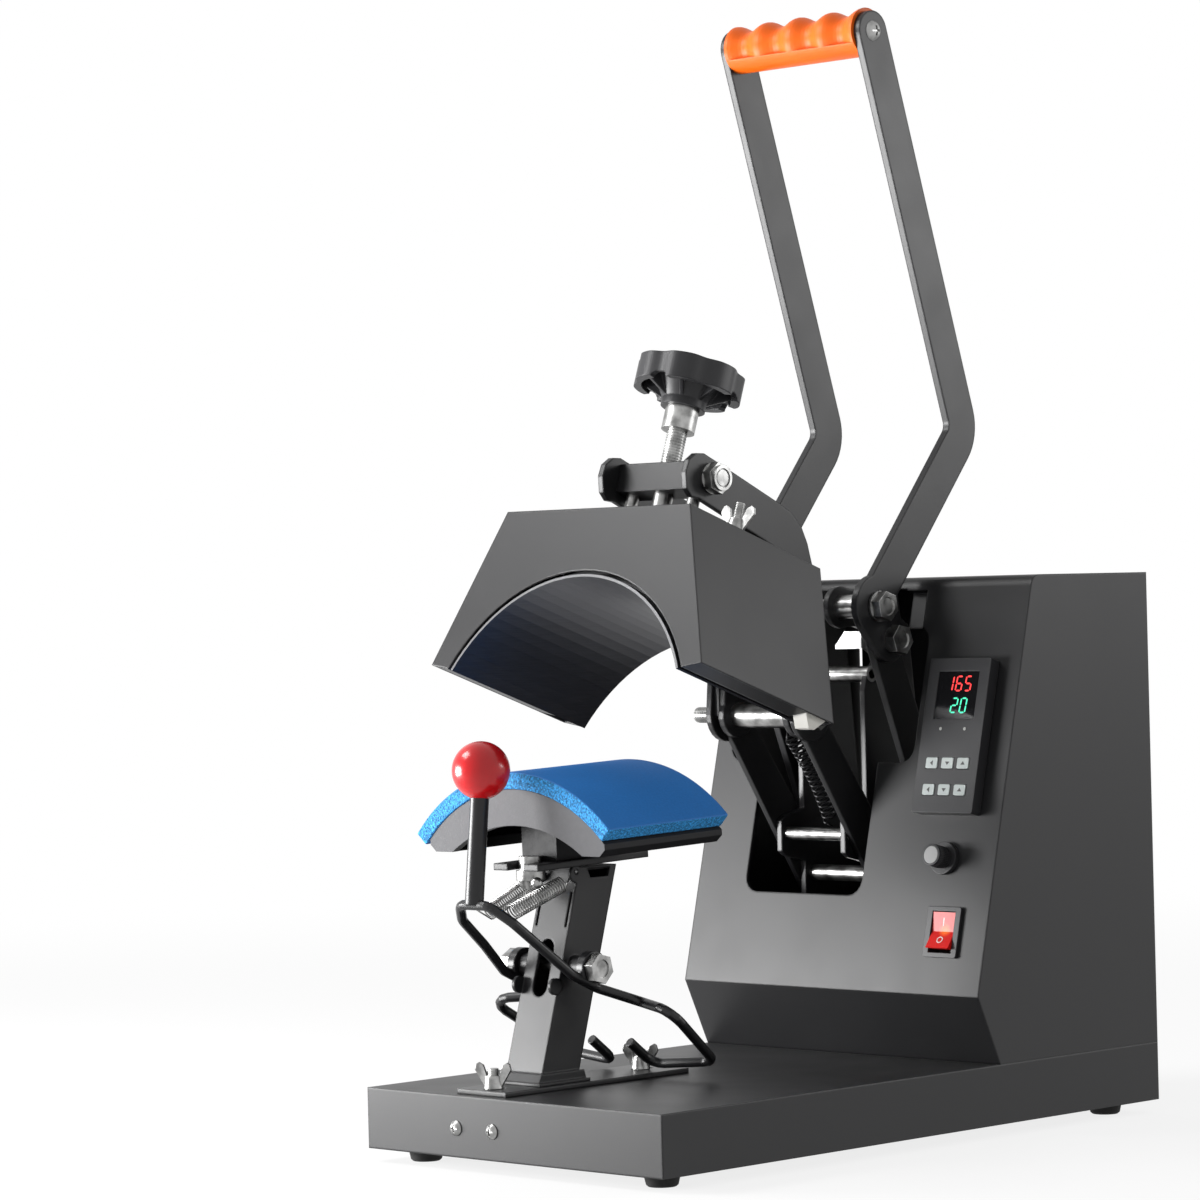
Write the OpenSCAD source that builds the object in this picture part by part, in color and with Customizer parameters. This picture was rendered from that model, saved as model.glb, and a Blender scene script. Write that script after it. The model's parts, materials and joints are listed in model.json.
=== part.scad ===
// Benchtop heat press for caps: a curved, electrically heated head on a lever
// linkage closes over a foam-topped curved platen. Units are millimetres.
// X is across the machine, Y runs from the front to the back, Z is up.
// The feet stand on Z = 0.

/* [Base] */
// Width of the base tray and of the housing
base_w = 242; // [236:1:250]
// Length of the base tray, front to back
base_l = 447; // [444:1:460]
// Height of the top of the base tray above the table
base_top = 44; // [42:0.5:45]
// Height of the rubber feet below the tray
foot_h = 8; // [6:0.5:10]
// Diameter of the rubber feet
foot_d = 22; // [16:1:28]
// Distance of the foot centres from the tray sides
foot_inset = 24; // [18:1:36]
// Sheet thickness of the tray and the housing
sheet = 2; // [1.5:0.1:2.5]
// Height of the two screws in the front wall above the table
front_screw_z = 25; // [22:1:28]
// Spacing of the two screws in the front wall
front_screw_gap = 30; // [22:1:40]

/* [Housing] */
// Height of the top of the housing above the table
hous_top = 338; // [337:0.5:340]
// Distance from the base centre to the toe of the front panel
toe_y = 69.5; // [66:0.5:73]
// Distance from the base centre to the nose line of the front panel
nose_y = 50; // [49.5:0.5:52]
// Height of the nose line
nose_z = 86; // [84:1:88]
// Distance from the base centre to the top front edge
brow_y = 110.7; // [110.2:0.1:112]
// Radius of the bend between the panel and the top
brow_r = 8; // [5:0.5:8.5]
// Distance of the window's middle to the left of the base's middle
win_x = 31.5; // [30:0.5:33]
// Width of the lower part of the window in the panel
win_low_w = 97; // [92:1:100]
// Width of the wide part of the window in the panel
win_high_w = 153.4; // [148:0.2:156]
// Distance of the window's lower edge from the nose line
win_low_v = 58.4; // [52:0.2:64]
// Distance of the window's shoulders from the nose line
win_mid_v = 142; // [136:1:146]
// Distance of the top of the window's wide part from the nose line
win_wide_v = 228; // [226:0.5:230]
// Distance of the top of the window's middle notch from the nose line
win_top_v = 252; // [251:0.2:252.6]
// Corner radius of the window
win_r = 10; // [6:0.5:12]
// Depth of the pockets in the panel that the crank lobes turn into
pocket_deep = 6.5; // [6:0.5:9]

/* [Linkage] */
// Offset of the linkage's middle plane from the base's middle
mech_x = -30; // [-32:0.5:-28]
// Thickness of the linkage plates
plate_t = 4; // [3:0.1:4.1]
// Half the free width between the two fixed frame plates
frame_in = 24.6; // [23:0.1:24.8]
// Sideways gap between plates that turn past each other
plate_gap = 0.4; // [0.2:0.1:0.5]
// Distance of the arm pivot behind the base centre
arm_pivot_y = 126.8; // [126:0.2:128]
// Height of the arm pivot
arm_pivot_z = 117.3; // [116:0.1:119]
// Diameter of the arm pivot shaft
arm_shaft_d = 16; // [12:0.5:18]
// Distance of the cross shaft behind the base centre
cross_y = 35; // [34:0.5:37]
// Height of the cross shaft
cross_z = 255; // [253:0.5:257]
// Diameter of the cross shaft
cross_d = 9.5; // [8:0.5:11]
// Radius of the rounded plate ends on the cross shaft
cross_head_r = 16.5; // [14:0.5:18]
// Length of the cross shaft's left stud beyond the middle plane
cross_stud = 59; // [52:1:62]
// Distance of the tail pin behind the base centre
tail_y = 171; // [170:0.2:172]
// Height of the tail pin
tail_z = 90; // [88:0.5:92]
// Diameter of the tail pin
tail_d = 8; // [6:0.5:9]
// Free space round the tail pin in the link's lower eye
tail_clear = 2.2; // [2.15:0.05:2.6]
// Running clearance of the hinge bores, radial
run_clear = 0.06; // [0.03:0.01:0.1]
// Distance of the upper cross tube behind the base centre
tube_y = 101; // [100:0.5:103]
// Height of the upper cross tube
tube_z = 278.4; // [276:0.2:280]
// Diameter of the cross tubes
tube_d = 10; // [8:0.5:11]
// Distance of the spring rod behind the base centre
spring_rod_y = 78; // [77:0.5:80]
// Height of the spring rod
spring_rod_z = 179; // [177:0.5:181]
// Diameter of the spring rod
spring_rod_d = 8; // [6:0.5:8.2]

/* [Handle] */
// Distance of the handle shaft behind the base centre
handle_y = 74; // [73.5:0.1:74.5]
// Height of the handle shaft
handle_z = 320.7; // [320:0.1:321]
// Diameter of the handle shaft
handle_shaft_d = 10; // [8:0.5:12]
// Radius of the crank, from the handle shaft to the crank bolt
crank_r = 24.5; // [24.2:0.1:24.8]
// Angle of the crank below the horizontal
crank_a = 58; // [57:0.5:59]
// Half the free width between the handle arms
handle_in = 53.7; // [53.3:0.1:56]
// Thickness of the handle arms and the links
handle_t = 5; // [4:0.1:5.4]
// Width of the handle arms
handle_w = 25.4; // [22:0.2:26]
// Radius of the arm's lobe around the handle shaft
lobe_r = 19.6; // [18:0.2:20.4]
// Distance of the arm bend behind the base centre
bend_y = 160.9; // [156:0.1:165]
// Height of the arm bend
bend_z = 429.2; // [424:0.2:436]
// Radius of the bend along the arm's middle line
bend_r = 20; // [14:1:30]
// Distance of the grip behind the base centre
grip_y = 82.5; // [78:0.5:88]
// Height of the grip
grip_z = 676.3; // [640:0.1:700]
// Diameter of the grip
grip_d = 30; // [26:0.5:34]
// Depth of the finger scallops in the grip
scallop = 4; // [2:0.5:5]
// Width of the links
link_w = 24; // [20:0.5:24.4]

/* [Heater head] */
// Distance of the head's top middle in front of the base centre
head_y = 54.5; // [54:0.1:55]
// Height of the head's top middle
head_z = 364.1; // [363.8:0.1:364.8]
// Angle by which the open head tips its front up
head_tilt = 19.3; // [19.1:0.1:19.5]
// Depth of the head cover, front to back
head_d = 118.7; // [110:0.5:120]
// Width of the head cover at the top
head_top_w = 153.2; // [148:0.2:158]
// Width of the head cover at the bottom
head_low_w = 226.4; // [223:0.2:229]
// Height of the head cover's sides
head_h = 97.5; // [96:0.5:98.5]
// Wall of the head cover
cover_t = 1.5; // [1:0.1:1.8]
// Radius of the arch cut in the head cover
cover_r = 109; // [108.4:0.1:109.6]
// Radius of the pressing face of the heater plate
press_r = 105; // [104.8:0.1:105.6]
// Height of the cover's top above the crown of the pressing face
crown_drop = 43.2; // [42.8:0.1:43.4]
// Thickness of the heater plate's thin front and rear lips
lip_t = 1.6; // [1:0.1:2]
// Thickness of the curved heater plate behind its lips
heat_plate_t = 8; // [6:0.5:8.5]
// Thickness of the heating element on the back of the plate
element_t = 2.4; // [1.6:0.1:3]

/* [Pressure screw] */
// Diameter of the pressure screw
screw_d = 12; // [10:0.5:14]
// Depth of the crossbar
bar_d = 17; // [15:0.5:19]
// Height of the crossbar
bar_h = 18; // [16:0.5:19]
// Height of the crossbar's lower face over the head
bar_lift = 26.3; // [25.5:0.1:27.5]
// Distance of the crossbar's middle in front of the head's middle
bar_y = 7.6; // [7:0.1:8.2]
// Length of bare screw between the crossbar and its collar
screw_bare = 22.8; // [20:0.2:25]
// Diameter of the steel collar
collar_d = 20.6; // [16:0.2:23]
// Height of the steel collar
collar_h = 14.5; // [10:0.5:18]
// Diameter of the knob over its lobes
knob_d = 67; // [58:1:72]
// Number of lobes on the knob
knob_lobes = 7; // [5:1:9]
// Height of the knob's rim
knob_rim_h = 16; // [12:0.5:20]
// Diameter of the guide pins
pin_d = 8; // [6:0.5:9]
// Half the spacing of the guide pins
pin_x = 26; // [24:0.5:27]
// Distance of the head's wing nut to the right of the head's middle
head_nut_x = 64; // [60:0.5:66]

/* [Platen] */
// Distance of the platen's middle in front of the base centre
plat_y = 137; // [136:0.5:138]
// Height of the platen's crown at its middle
plat_z = 231.4; // [231:0.1:231.6]
// Angle by which the platen's rear stands higher
plat_tilt = 2; // [1.9:0.1:2.1]
// Depth of the platen, front to back
plat_d = 100; // [92:1:103]
// Radius of the foam's top
foam_r = 112; // [111.8:0.1:112.2]
// Thickness of the foam
foam_t = 10; // [8:0.5:10.5]
// Half the angle that the foam spans
foam_a = 46.5; // [42:0.5:46.5]
// Angle by which the foam sits off-centre to the left
foam_off = 2; // [0:0.5:2]
// Half the width of the moulded platen
mould_x = 73; // [70:0.5:74]
// Depth of the mould's open arch below the crown
mould_drop = 31.4; // [29:0.2:33]
// Depth of the mould's feet below the crown
mould_low = 48; // [46.5:0.5:49]
// Half the span of the mould's open arch
mould_gap = 54.4; // [50:0.2:56]

/* [Support post] */
// Width of the slide plate
slide_w = 41; // [36:0.5:46]
// Length of the slide plate
slide_l = 152; // [148:1:156]
// Thickness of the slide plate
slide_t = 3; // [2.5:0.1:3.4]
// Distance of the slide plate's front edge from the base's front edge
slide_in = 6.5; // [6.5:0.5:8]
// Travel of the slide plate towards the front
slide_fwd = 6; // [4:0.5:6]
// Travel of the slide plate towards the back
slide_back = 3.5; // [3.5:0.5:4]
// Width of the post across the machine
post_w = 30; // [28:0.5:32]
// Depth of the post, front to back
post_d = 30.5; // [29:0.5:32]
// Wall of the post
post_t = 2; // [1.5:0.1:2.5]
// Distance of the post's middle in front of the base centre, at base level
post_y = 169; // [168:0.5:170]
// Angle by which the post leans back
post_lean = 16.4; // [15.8:0.1:17]
// Height of the post's top above the table
post_top = 172; // [171:0.5:173]
// Length of the flat bar that carries the platen
carry_l = 92; // [86:1:95]
// Width of the flat bar that carries the platen
carry_w = 37; // [34:0.5:40]
// Thickness of the flat bar that carries the platen
carry_t = 4; // [3:0.1:4.5]
// Width of the fork cut in the front end of the flat bar
fork_w = 14; // [13.8:0.2:16]

/* [Cap lever] */
// Distance of the cap lever's pivot in front of the base centre
lever_y = 153.5; // [153:0.2:154]
// Height of the cap lever's pivot above the table
lever_z = 114.1; // [113.5:0.1:115]
// Half the distance between the bolt head and nut seats of the pivot
lever_x = 32; // [31.6:0.1:33]
// Diameter of the cap lever's pivot bolt
lever_bolt_d = 8; // [6:0.5:9]
// Diameter of the lever's discs on the pivot bolt
disc_d = 20; // [19:0.2:21]
// Diameter of the lever wire
wire_d = 6; // [5.6:0.1:6.4]
// Diameter of the lever's upright stem
stem_d = 11; // [9:0.5:12]
// Diameter of the red ball
ball_d = 34; // [30:0.5:35]
// Outer diameter of the two bright tension springs
cap_spring_d = 10; // [8:0.5:10.5]
// Number of curls of each bright spring
cap_spring_n = 22; // [16:1:23]
// Outer diameter of the black return spring
back_spring_d = 10.5; // [9:0.5:12]
// Number of curls of the black return spring
back_spring_n = 17; // [12:1:20]

/* [Controls] */
// Distance of the controller to the right of the base's middle
ctl_x = 80.5; // [78:0.5:82]
// Distance of the controller's middle from the nose line
ctl_v = 157.8; // [154:0.2:162]
// Width of the controller's face
ctl_w = 48; // [47:0.5:50]
// Height of the controller's face
ctl_h = 96; // [94:0.5:98]
// Distance by which the controller's face stands out
ctl_out = 8; // [5:0.5:10]
// Depth by which a key moves when pressed
key_travel = 0.5; // [0.3:0.1:0.8]
// Distance of the fuse holder to the right of the base's middle
fuse_x = 82; // [78:0.5:86]
// Distance of the fuse holder from the nose line
fuse_v = 83; // [80:1:88]
// Distance of the rocker switch to the right of the base's middle
rocker_x = 88; // [84:0.5:92]
// Distance of the rocker switch from the nose line
rocker_v = 38; // [35:0.5:41]
// Angle of the rocker away from its middle position
rocker_a = 9; // [6:0.5:10]

/* [Hidden] */

// Small overlaps and clearances
eps = 0.01;
fit = 0.2;
// Overlap by which a cutting body runs past a face
over = 1;
// Half the length of a cutting bore along X, past the outermost plate
bore_end = 90;

panel_a = atan((brow_y - nose_y) / (hous_top - nose_z));
panel_len = norm([brow_y - nose_y, hous_top - nose_z]);
rear_y = base_l / 2;
lever_in = frame_in + plate_t + plate_gap;
upper_in = lever_in + plate_t;
upper_out = upper_in + plate_t;
link_in = handle_in - handle_t - 2.2;
link_out = link_in + handle_t;
handle_out = handle_in + handle_t;
crank_y = handle_y + crank_r * cos(crank_a);
crank_z = handle_z - crank_r * sin(crank_a);
crank_bolt_d = 10;
hex_w = 16.5;
notch_x = link_out + 1;
pocket_x = handle_out + 10.3;
arch_z = -crown_drop - press_r;
plate_a = 63.4;
slab_a = 57;
slide_y0 = -base_l / 2 + slide_in;
stud_front_y = slide_y0 + 10;
stud_rear_y = slide_y0 + slide_l - 20;
stud_d = 6;
post_base = base_top + slide_t + 0.1;
carry_z = post_top;
lock_y = -plat_y - 36;
head_nut_y = -6;
ball_y = -lever_y - 57.5;
ball_z = lever_z + 117.7;
loop_y = -lever_y - 65.5;
loop_z = lever_z + 40.2;
leftmost = mech_x - head_low_w / 2;
shift_x = -(leftmost + base_w / 2) / 2;
rear_plate_t = 2;
inlet_out = 3.4;
front_reach = max(-ball_y + ball_d / 2, base_l / 2 + 2.8);
rear_reach = rear_y + rear_plate_t + inlet_out;
shift_y = (front_reach - rear_reach) / 2;

black = [0.12, 0.12, 0.13];
zinc = [0.78, 0.79, 0.8];
dark = [0.2, 0.2, 0.21];

// Moves the machine so that the middle of its outline is at the origin
module place() {
    translate([shift_x, shift_y, 0]) children();
}

// Extrudes a profile drawn in (y, z) along X, from x0 over a length t
module yz(x0, t) {
    translate([x0, 0, 0]) rotate([90, 0, 90]) linear_extrude(t) children();
}

// Extrudes a profile drawn in (x, z) along Y, from y0 over a length t
module xz(y0, t) {
    translate([0, y0 + t, 0]) rotate([90, 0, 0]) linear_extrude(t) children();
}

// A round bar or bore along X at (y, z)
module rod_x(y, z, d, x0, x1, sides = 40) {
    translate([x0, y, z]) rotate([0, 90, 0]) cylinder(d = d, h = x1 - x0, $fn = sides);
}

// Hexagon along X
module hex_x(y, z, across, x0, x1, turn = 0) {
    translate([x0, y, z]) rotate([0, 90, 0]) rotate([0, 0, turn])
        cylinder(d = across / cos(30), h = x1 - x0, $fn = 6);
}

// Hex bolt head along X with a round boss and a hollow in its face
module hex_head(y, z, across, x0, h, turn) {
    difference() {
        hex_x(y, z, across, x0, x0 + h, turn);
        rod_x(y, z, across * 0.66, x0 + h - 0.8, x0 + h + over);
    }
}

// Repeats a piece on the right (1) and the left (-1) of the linkage's middle plane
module each_side(sides = [1, -1]) {
    for (s = sides) translate([mech_x, 0, 0]) mirror([s < 0 ? 1 : 0, 0, 0]) children();
}

// Frame on the front panel: x across, v up the panel from the nose line, out of it
module on_panel(x, v, out = 0) {
    translate([x, nose_y + v * sin(panel_a), nose_z + v * cos(panel_a)])
        rotate([90 - panel_a, 0, 0]) translate([0, 0, out]) children();
}

// Frame of the heater head, with its origin in the middle of the cover's top
module in_head() {
    translate([mech_x, -head_y, head_z]) rotate([-head_tilt, 0, 0]) children();
}

// Frame of the platen, with its origin at the crown of the foam
module in_platen() {
    translate([mech_x, -plat_y, plat_z]) rotate([plat_tilt, 0, 0]) children();
}

// Rounded rectangle as a polygon
function corner(cx, cy, r, a0, a1, n = 6) =
    [for (i = [0 : n]) [cx + r * cos(a0 + (a1 - a0) * i / n), cy + r * sin(a0 + (a1 - a0) * i / n)]];
function round_rect(w, h, r) = concat(
    corner(w / 2 - r, h / 2 - r, r, 0, 90), corner(-w / 2 + r, h / 2 - r, r, 90, 180),
    corner(-w / 2 + r, -h / 2 + r, r, 180, 270), corner(w / 2 - r, -h / 2 + r, r, 270, 360));

module plate_rr(w, h, r, t) {
    linear_extrude(t) polygon(round_rect(w, h, r));
}

// Two discs and the plate between their common tangents, as a flat outline
module two_ends(a, ra, b, rb) {
    v = b - a;
    q = atan2(v[1], v[0]);
    k = acos((ra - rb) / norm(v));
    translate(a) circle(r = ra, $fn = 64);
    translate(b) circle(r = rb, $fn = 64);
    polygon([a + ra * [cos(q + k), sin(q + k)], a + ra * [cos(q - k), sin(q - k)],
        b + rb * [cos(q - k), sin(q - k)], b + rb * [cos(q + k), sin(q + k)]]);
}

// Points of an arc in the (x, z) plane about the origin, from angle a0 to a1 off the vertical
function arc_pts(r, a0, a1, n) =
    [for (i = [0 : n]) let (t = a0 + (a1 - a0) * i / n) [r * sin(t), r * cos(t)]];
function moved(p, z) = [for (q = p) [q[0], q[1] + z]];
function reversed(p) = [for (i = [len(p) - 1 : -1 : 0]) p[i]];

// Curved slab between two radii about the heater arch's centre
module arch_slab(r0, r1, a, y0, t, n = 32) {
    xz(y0, t) polygon(concat(moved(arc_pts(r1, -a, a, n), arch_z),
        reversed(moved(arc_pts(r0, -a, a, n), arch_z))));
}

// One ring of a tube: a point, its direction and a side vector
function unit(v) = v / norm(v);
function ring(p, dir, side, r, n) = let (u = unit(cross(dir, side)), w = unit(cross(u, dir)))
    [for (k = [0 : n - 1]) p + r * (cos(360 * k / n) * u + sin(360 * k / n) * w)];
function path_dir(p, i) = unit(p[min(i + 1, len(p) - 1)] - p[max(i - 1, 0)]);
// Carries the side vector along a path so that the tube doesn't twist
function sides_of(p, i = 0, prev = [0, 0, 0], out = []) = i == len(p) ? out :
    let (d = path_dir(p, i), s0 = i == 0 ? (abs(d[0]) < 0.9 ? [1, 0, 0] : [0, 1, 0]) : prev,
        s = unit(s0 - (s0 * d) * d)) sides_of(p, i + 1, s, concat(out, [s]));

// Tube with n sides along a path of points
module tube(p, d, n = 8) {
    side = sides_of(p);
    pts = [for (i = [0 : len(p) - 1]) each ring(p[i], path_dir(p, i), side[i], d / 2, n)];
    m = len(p);
    walls = [for (i = [0 : m - 2], k = [0 : n - 1]) each [
        [i * n + k, (i + 1) * n + (k + 1) % n, (i + 1) * n + k],
        [i * n + k, i * n + (k + 1) % n, (i + 1) * n + (k + 1) % n]]];
    caps = [for (k = [1 : n - 2]) each [[0, k + 1, k],
        [(m - 1) * n, (m - 1) * n + k, (m - 1) * n + k + 1]]];
    polyhedron(points = pts, faces = concat(walls, caps));
}

// Rounds the corners of a path: each inner point becomes an arc of n steps
function bend(a, b, c, r, n) = let (u = unit(a - b), w = unit(c - b), half = acos(u * w) / 2,
    cut = min(r / tan(half), norm(a - b) * 0.45, norm(c - b) * 0.45), rr = cut * tan(half),
    mid = b + unit(u + w) * rr / sin(half), p0 = b + u * cut - mid, p1 = b + w * cut - mid,
    sweep = 180 - 2 * half)
    [for (i = [0 : n]) mid + (sin(sweep * (1 - i / n)) * p0 + sin(sweep * i / n) * p1) / sin(sweep)];
function rounded(p, r, n = 4) = concat([p[0]],
    [for (i = [1 : len(p) - 2]) each bend(p[i - 1], p[i], p[i + 1], r, n)], [p[len(p) - 1]]);

// Flat strip of constant width along a path
function strip_pts(p, w) = let (k = [for (i = [0 : len(p) - 1]) let (d = path_dir(p, i)) [-d[1], d[0]]])
    concat([for (i = [0 : len(p) - 1]) p[i] + w / 2 * k[i]],
        [for (i = [len(p) - 1 : -1 : 0]) p[i] - w / 2 * k[i]]);

// Pan head with a cross recess, its axis along Z, seated on Z = 0
module pan_head(d, h) {
    difference() {
        intersection() {
            cylinder(d = d, h = h, $fn = 40);
            translate([0, 0, h - d * 0.62]) sphere(r = d * 0.62, $fn = 48);
        }
        for (a = [0, 90]) rotate([0, 0, a])
            translate([-d * 0.25, -d * 0.06, h * 0.45]) cube([d * 0.5, d * 0.12, h]);
    }
}

// Wing nut with its axis along Z, seated on Z = 0
module wing_nut(bore, span, h) {
    hub_d = bore * 1.9;
    difference() {
        union() {
            cylinder(d1 = hub_d, d2 = hub_d * 0.8, h = h * 0.5, $fn = 32);
            for (m = [0, 1]) mirror([m, 0, 0]) translate([0, bore * 0.16, 0]) rotate([90, 0, 0])
                linear_extrude(bore * 0.32) polygon([[bore * 0.6, h * 0.1], [hub_d * 0.5, h * 0.1],
                    [span / 2, h * 0.72], [span / 2 - h * 0.06, h * 0.94], [span / 2 - h * 0.16, h],
                    [span / 2 - h * 0.34, h * 0.9], [bore * 0.6, h * 0.42]]);
        }
        translate([0, 0, -over]) cylinder(d = bore + 2 * run_clear, h = h + 2 * over, $fn = 32);
    }
}

/* Base */

foot_pts = [for (x = [-1, 1], y = [-1, 1]) [x * (base_w / 2 - foot_inset), y * (base_l / 2 - foot_inset)]];
cover_z = foot_h + 1.5;
cover_plate_t = 1.5;
rear_screw_pts = [for (x = [-1, 1], z = [base_top + 22, hous_top - 22]) [x * (base_w / 2 - 12), z]];

module base_tray() color(black) place() {
    z0 = foot_h;
    difference() {
        translate([-base_w / 2, -base_l / 2, z0]) cube([base_w, base_l, base_top - z0]);
        translate([-base_w / 2 + sheet, -base_l / 2 + sheet, z0 - over])
            cube([base_w - 2 * sheet, base_l - 2 * sheet, base_top - z0 - sheet + over]);
        for (x = [-1, 1]) translate([mech_x + x * front_screw_gap / 2, -base_l / 2 - over, front_screw_z])
            rotate([-90, 0, 0]) cylinder(d = 4.4, h = sheet + 2 * over, $fn = 32);
        for (y = [stud_front_y, stud_rear_y]) translate([mech_x, y, base_top - sheet - over])
            cylinder(d = stud_d + fit, h = sheet + 2 * over, $fn = 32);
        translate([-base_w / 4, toe_y + 30, base_top - sheet - over]) cube([60, 60, sheet + 2 * over]);
    }
}

module base_cover() color(dark) place() difference() {
    translate([-base_w / 2 + sheet + fit, -base_l / 2 + sheet + fit, cover_z])
        cube([base_w - 2 * (sheet + fit), base_l - 2 * (sheet + fit), cover_plate_t]);
    for (p = foot_pts) translate([p[0], p[1], cover_z - over]) cylinder(d = 5, h = cover_plate_t + 2 * over, $fn = 32);
}

module feet() color([0.06, 0.06, 0.06]) place() for (p = foot_pts) translate([p[0], p[1], 0]) difference() {
    h = cover_z;
    rotate_extrude($fn = 48) polygon([[0, 0], [foot_d / 2 - 3, 0], [foot_d / 2 - 1.8, 1],
        [foot_d / 2, h - 1], [foot_d / 2, h], [0, h]]);
    translate([0, 0, -over]) cylinder(d = 9, h = 4 + over, $fn = 32);
    cylinder(d = 4.6, h = h + over, $fn = 32);
}

// Screws of the feet, the front wall and the rear cover
module case_screws() color(zinc) place() {
    for (p = foot_pts) translate([p[0], p[1], 0]) {
        nut_z = cover_z + cover_plate_t;
        translate([0, 0, 1.6]) cylinder(d = 8.4, h = 2.4, $fn = 32);
        translate([0, 0, 3.9]) cylinder(d = 4.2, h = nut_z - 1, $fn = 32);
        translate([0, 0, nut_z]) cylinder(d = 8 / cos(30), h = 2.8, $fn = 6);
    }
    for (x = [-1, 1]) translate([mech_x + x * front_screw_gap / 2, -base_l / 2, front_screw_z])
        rotate([90, 0, 0]) {
            pan_head(9, 2.8);
            translate([0, 0, -12]) cylinder(d = 4.2, h = 12.1, $fn = 32);
        }
    for (p = rear_screw_pts) translate([p[0], rear_y + rear_plate_t, p[1]]) rotate([-90, 0, 0]) {
        pan_head(8, 2.4);
        translate([0, 0, -8]) cylinder(d = 4, h = 8.1, $fn = 32);
    }
}

module slide_studs() color(zinc) place() for (y = [stud_front_y, stud_rear_y]) translate([mech_x, y, 0]) {
    translate([0, 0, base_top - sheet - 4]) cylinder(d = 10 / cos(30), h = 4, $fn = 6);
    translate([0, 0, base_top - sheet - 1]) cylinder(d = stud_d, h = sheet + slide_t + 13, $fn = 32);
}

/* Housing */

// Side profile of the housing, shrunk by g
function hous_pts(g) = let (c = [brow_y, hous_top], a = 90 - panel_a)
    concat([[toe_y + g * 1.2, base_top], [nose_y + g * 1.12, nose_z - g * 0.12]],
        [for (i = [0 : 6]) let (t = 180 - panel_a - a * i / 6)
            [c[0] + brow_r * (1 - panel_a / 90) + (brow_r - g) * cos(t), c[1] - brow_r + (brow_r - g) * sin(t)]],
        [[rear_y, hous_top - g], [rear_y, base_top]]);

// Outline of the window on the panel: a narrow slot, a wide part and a notch on top
function window_pts() = let (lo = win_low_w / 2, hi = win_high_w / 2, r = win_r,
    n0 = mech_x + win_x - notch_x, n1 = mech_x + win_x + notch_x) concat(
    corner(lo - r, win_low_v + r, r, -90, 0, 4), [[lo, win_mid_v]],
    corner(hi - r, win_mid_v + r, r, -90, 0, 4), corner(hi - r, win_wide_v - r, r, 0, 90, 4),
    [[n1, win_wide_v], [n1, win_top_v], [n0, win_top_v], [n0, win_wide_v]],
    corner(-hi + r, win_wide_v - r, r, 90, 180, 4), corner(-hi + r, win_mid_v + r, r, 180, 270, 4),
    [[-lo, win_mid_v]], corner(-lo + r, win_low_v + r, r, 180, 270, 4));

// One pocket beside the window's notch, grown by g
module pocket(s, g) {
    x0 = mech_x + (s > 0 ? notch_x - over : -pocket_x - g);
    on_panel(0, win_wide_v, -pocket_deep - g) translate([x0, 0, 0])
        cube([pocket_x - notch_x + over + g, win_top_v - win_wide_v - 1 + g, pocket_deep + 2 * g]);
}

module housing_shell() color(black) place() difference() {
    union() {
        difference() {
            yz(-base_w / 2, base_w) polygon(hous_pts(0));
            difference() {
                yz(-base_w / 2 + sheet, base_w - 2 * sheet) polygon(hous_pts(sheet));
                translate([-base_w, 0, base_top - over]) cube([2 * base_w, base_l, over + sheet / 2]);
            }
        }
        intersection() {
            yz(-base_w / 2, base_w) polygon(hous_pts(sheet / 2));
            for (s = [1, -1]) pocket(s, sheet);
        }
    }
    for (s = [1, -1]) pocket_cut(s);
    translate([-base_w / 2 + 14, toe_y + 14, base_top - over])
        cube([base_w - 28, rear_y - toe_y - 24, sheet + 2 * over]);
    on_panel(-win_x, 0, -sheet - 9) linear_extrude(sheet + 12) polygon(window_pts());
    on_panel(ctl_x, ctl_v, -sheet - over) translate([-22.5, -46, 0]) cube([45, 92, sheet + 2 * over]);
    on_panel(fuse_x, fuse_v, -sheet - over) cylinder(d = 12.4, h = sheet + 2 * over, $fn = 40);
    on_panel(rocker_x, rocker_v, -sheet - over) translate([-11.4, -14.4, 0]) cube([22.8, 28.8, sheet + 2 * over]);
}

// The free space of one pocket, open towards the notch and the front
module pocket_cut(s) {
    x0 = mech_x + (s > 0 ? notch_x - over : -pocket_x);
    on_panel(0, win_wide_v, -pocket_deep) translate([x0, -over, 0])
        cube([pocket_x - notch_x + over, win_top_v - win_wide_v - 1 + over, pocket_deep + 2]);
}

rear_in = 4;
module rear_cover() color(dark) place() difference() {
    translate([-base_w / 2 + rear_in, rear_y, base_top + rear_in])
        cube([base_w - 2 * rear_in, rear_plate_t, hous_top - base_top - 2 * rear_in]);
    for (x = [10, 70], k = [0 : 7]) translate([x - 24, rear_y - over, 210 + k * 11]) cube([48, 4, 4]);
    translate([60 - 13.7, rear_y - over, 76]) cube([27.4, 4, 20]);
    for (p = rear_screw_pts) translate([p[0], rear_y - over, p[1]]) rotate([-90, 0, 0])
        cylinder(d = 4.2, h = 4, $fn = 32);
}

module power_inlet() color([0.05, 0.05, 0.05]) place() translate([60, rear_y, 86]) difference() {
    union() {
        translate([-25, rear_plate_t, -12]) cube([50, inlet_out, 24]);
        translate([-13.5, -20, -9.8]) cube([27, 22.5, 19.6]);
    }
    translate([-11.5, -14, -7.8]) cube([23, 22, 15.6]);
}

module relay() color([0.85, 0.85, 0.8]) place() translate([62, 160, base_top + sheet / 2]) {
    cube([45, 50, 5]);
    translate([0, 2, 5]) cube([45, 46, 20]);
    for (x = [8, 37], y = [9, 41]) translate([x, y, 24.9]) cylinder(d = 8, h = 2.5, $fn = 24);
}

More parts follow.
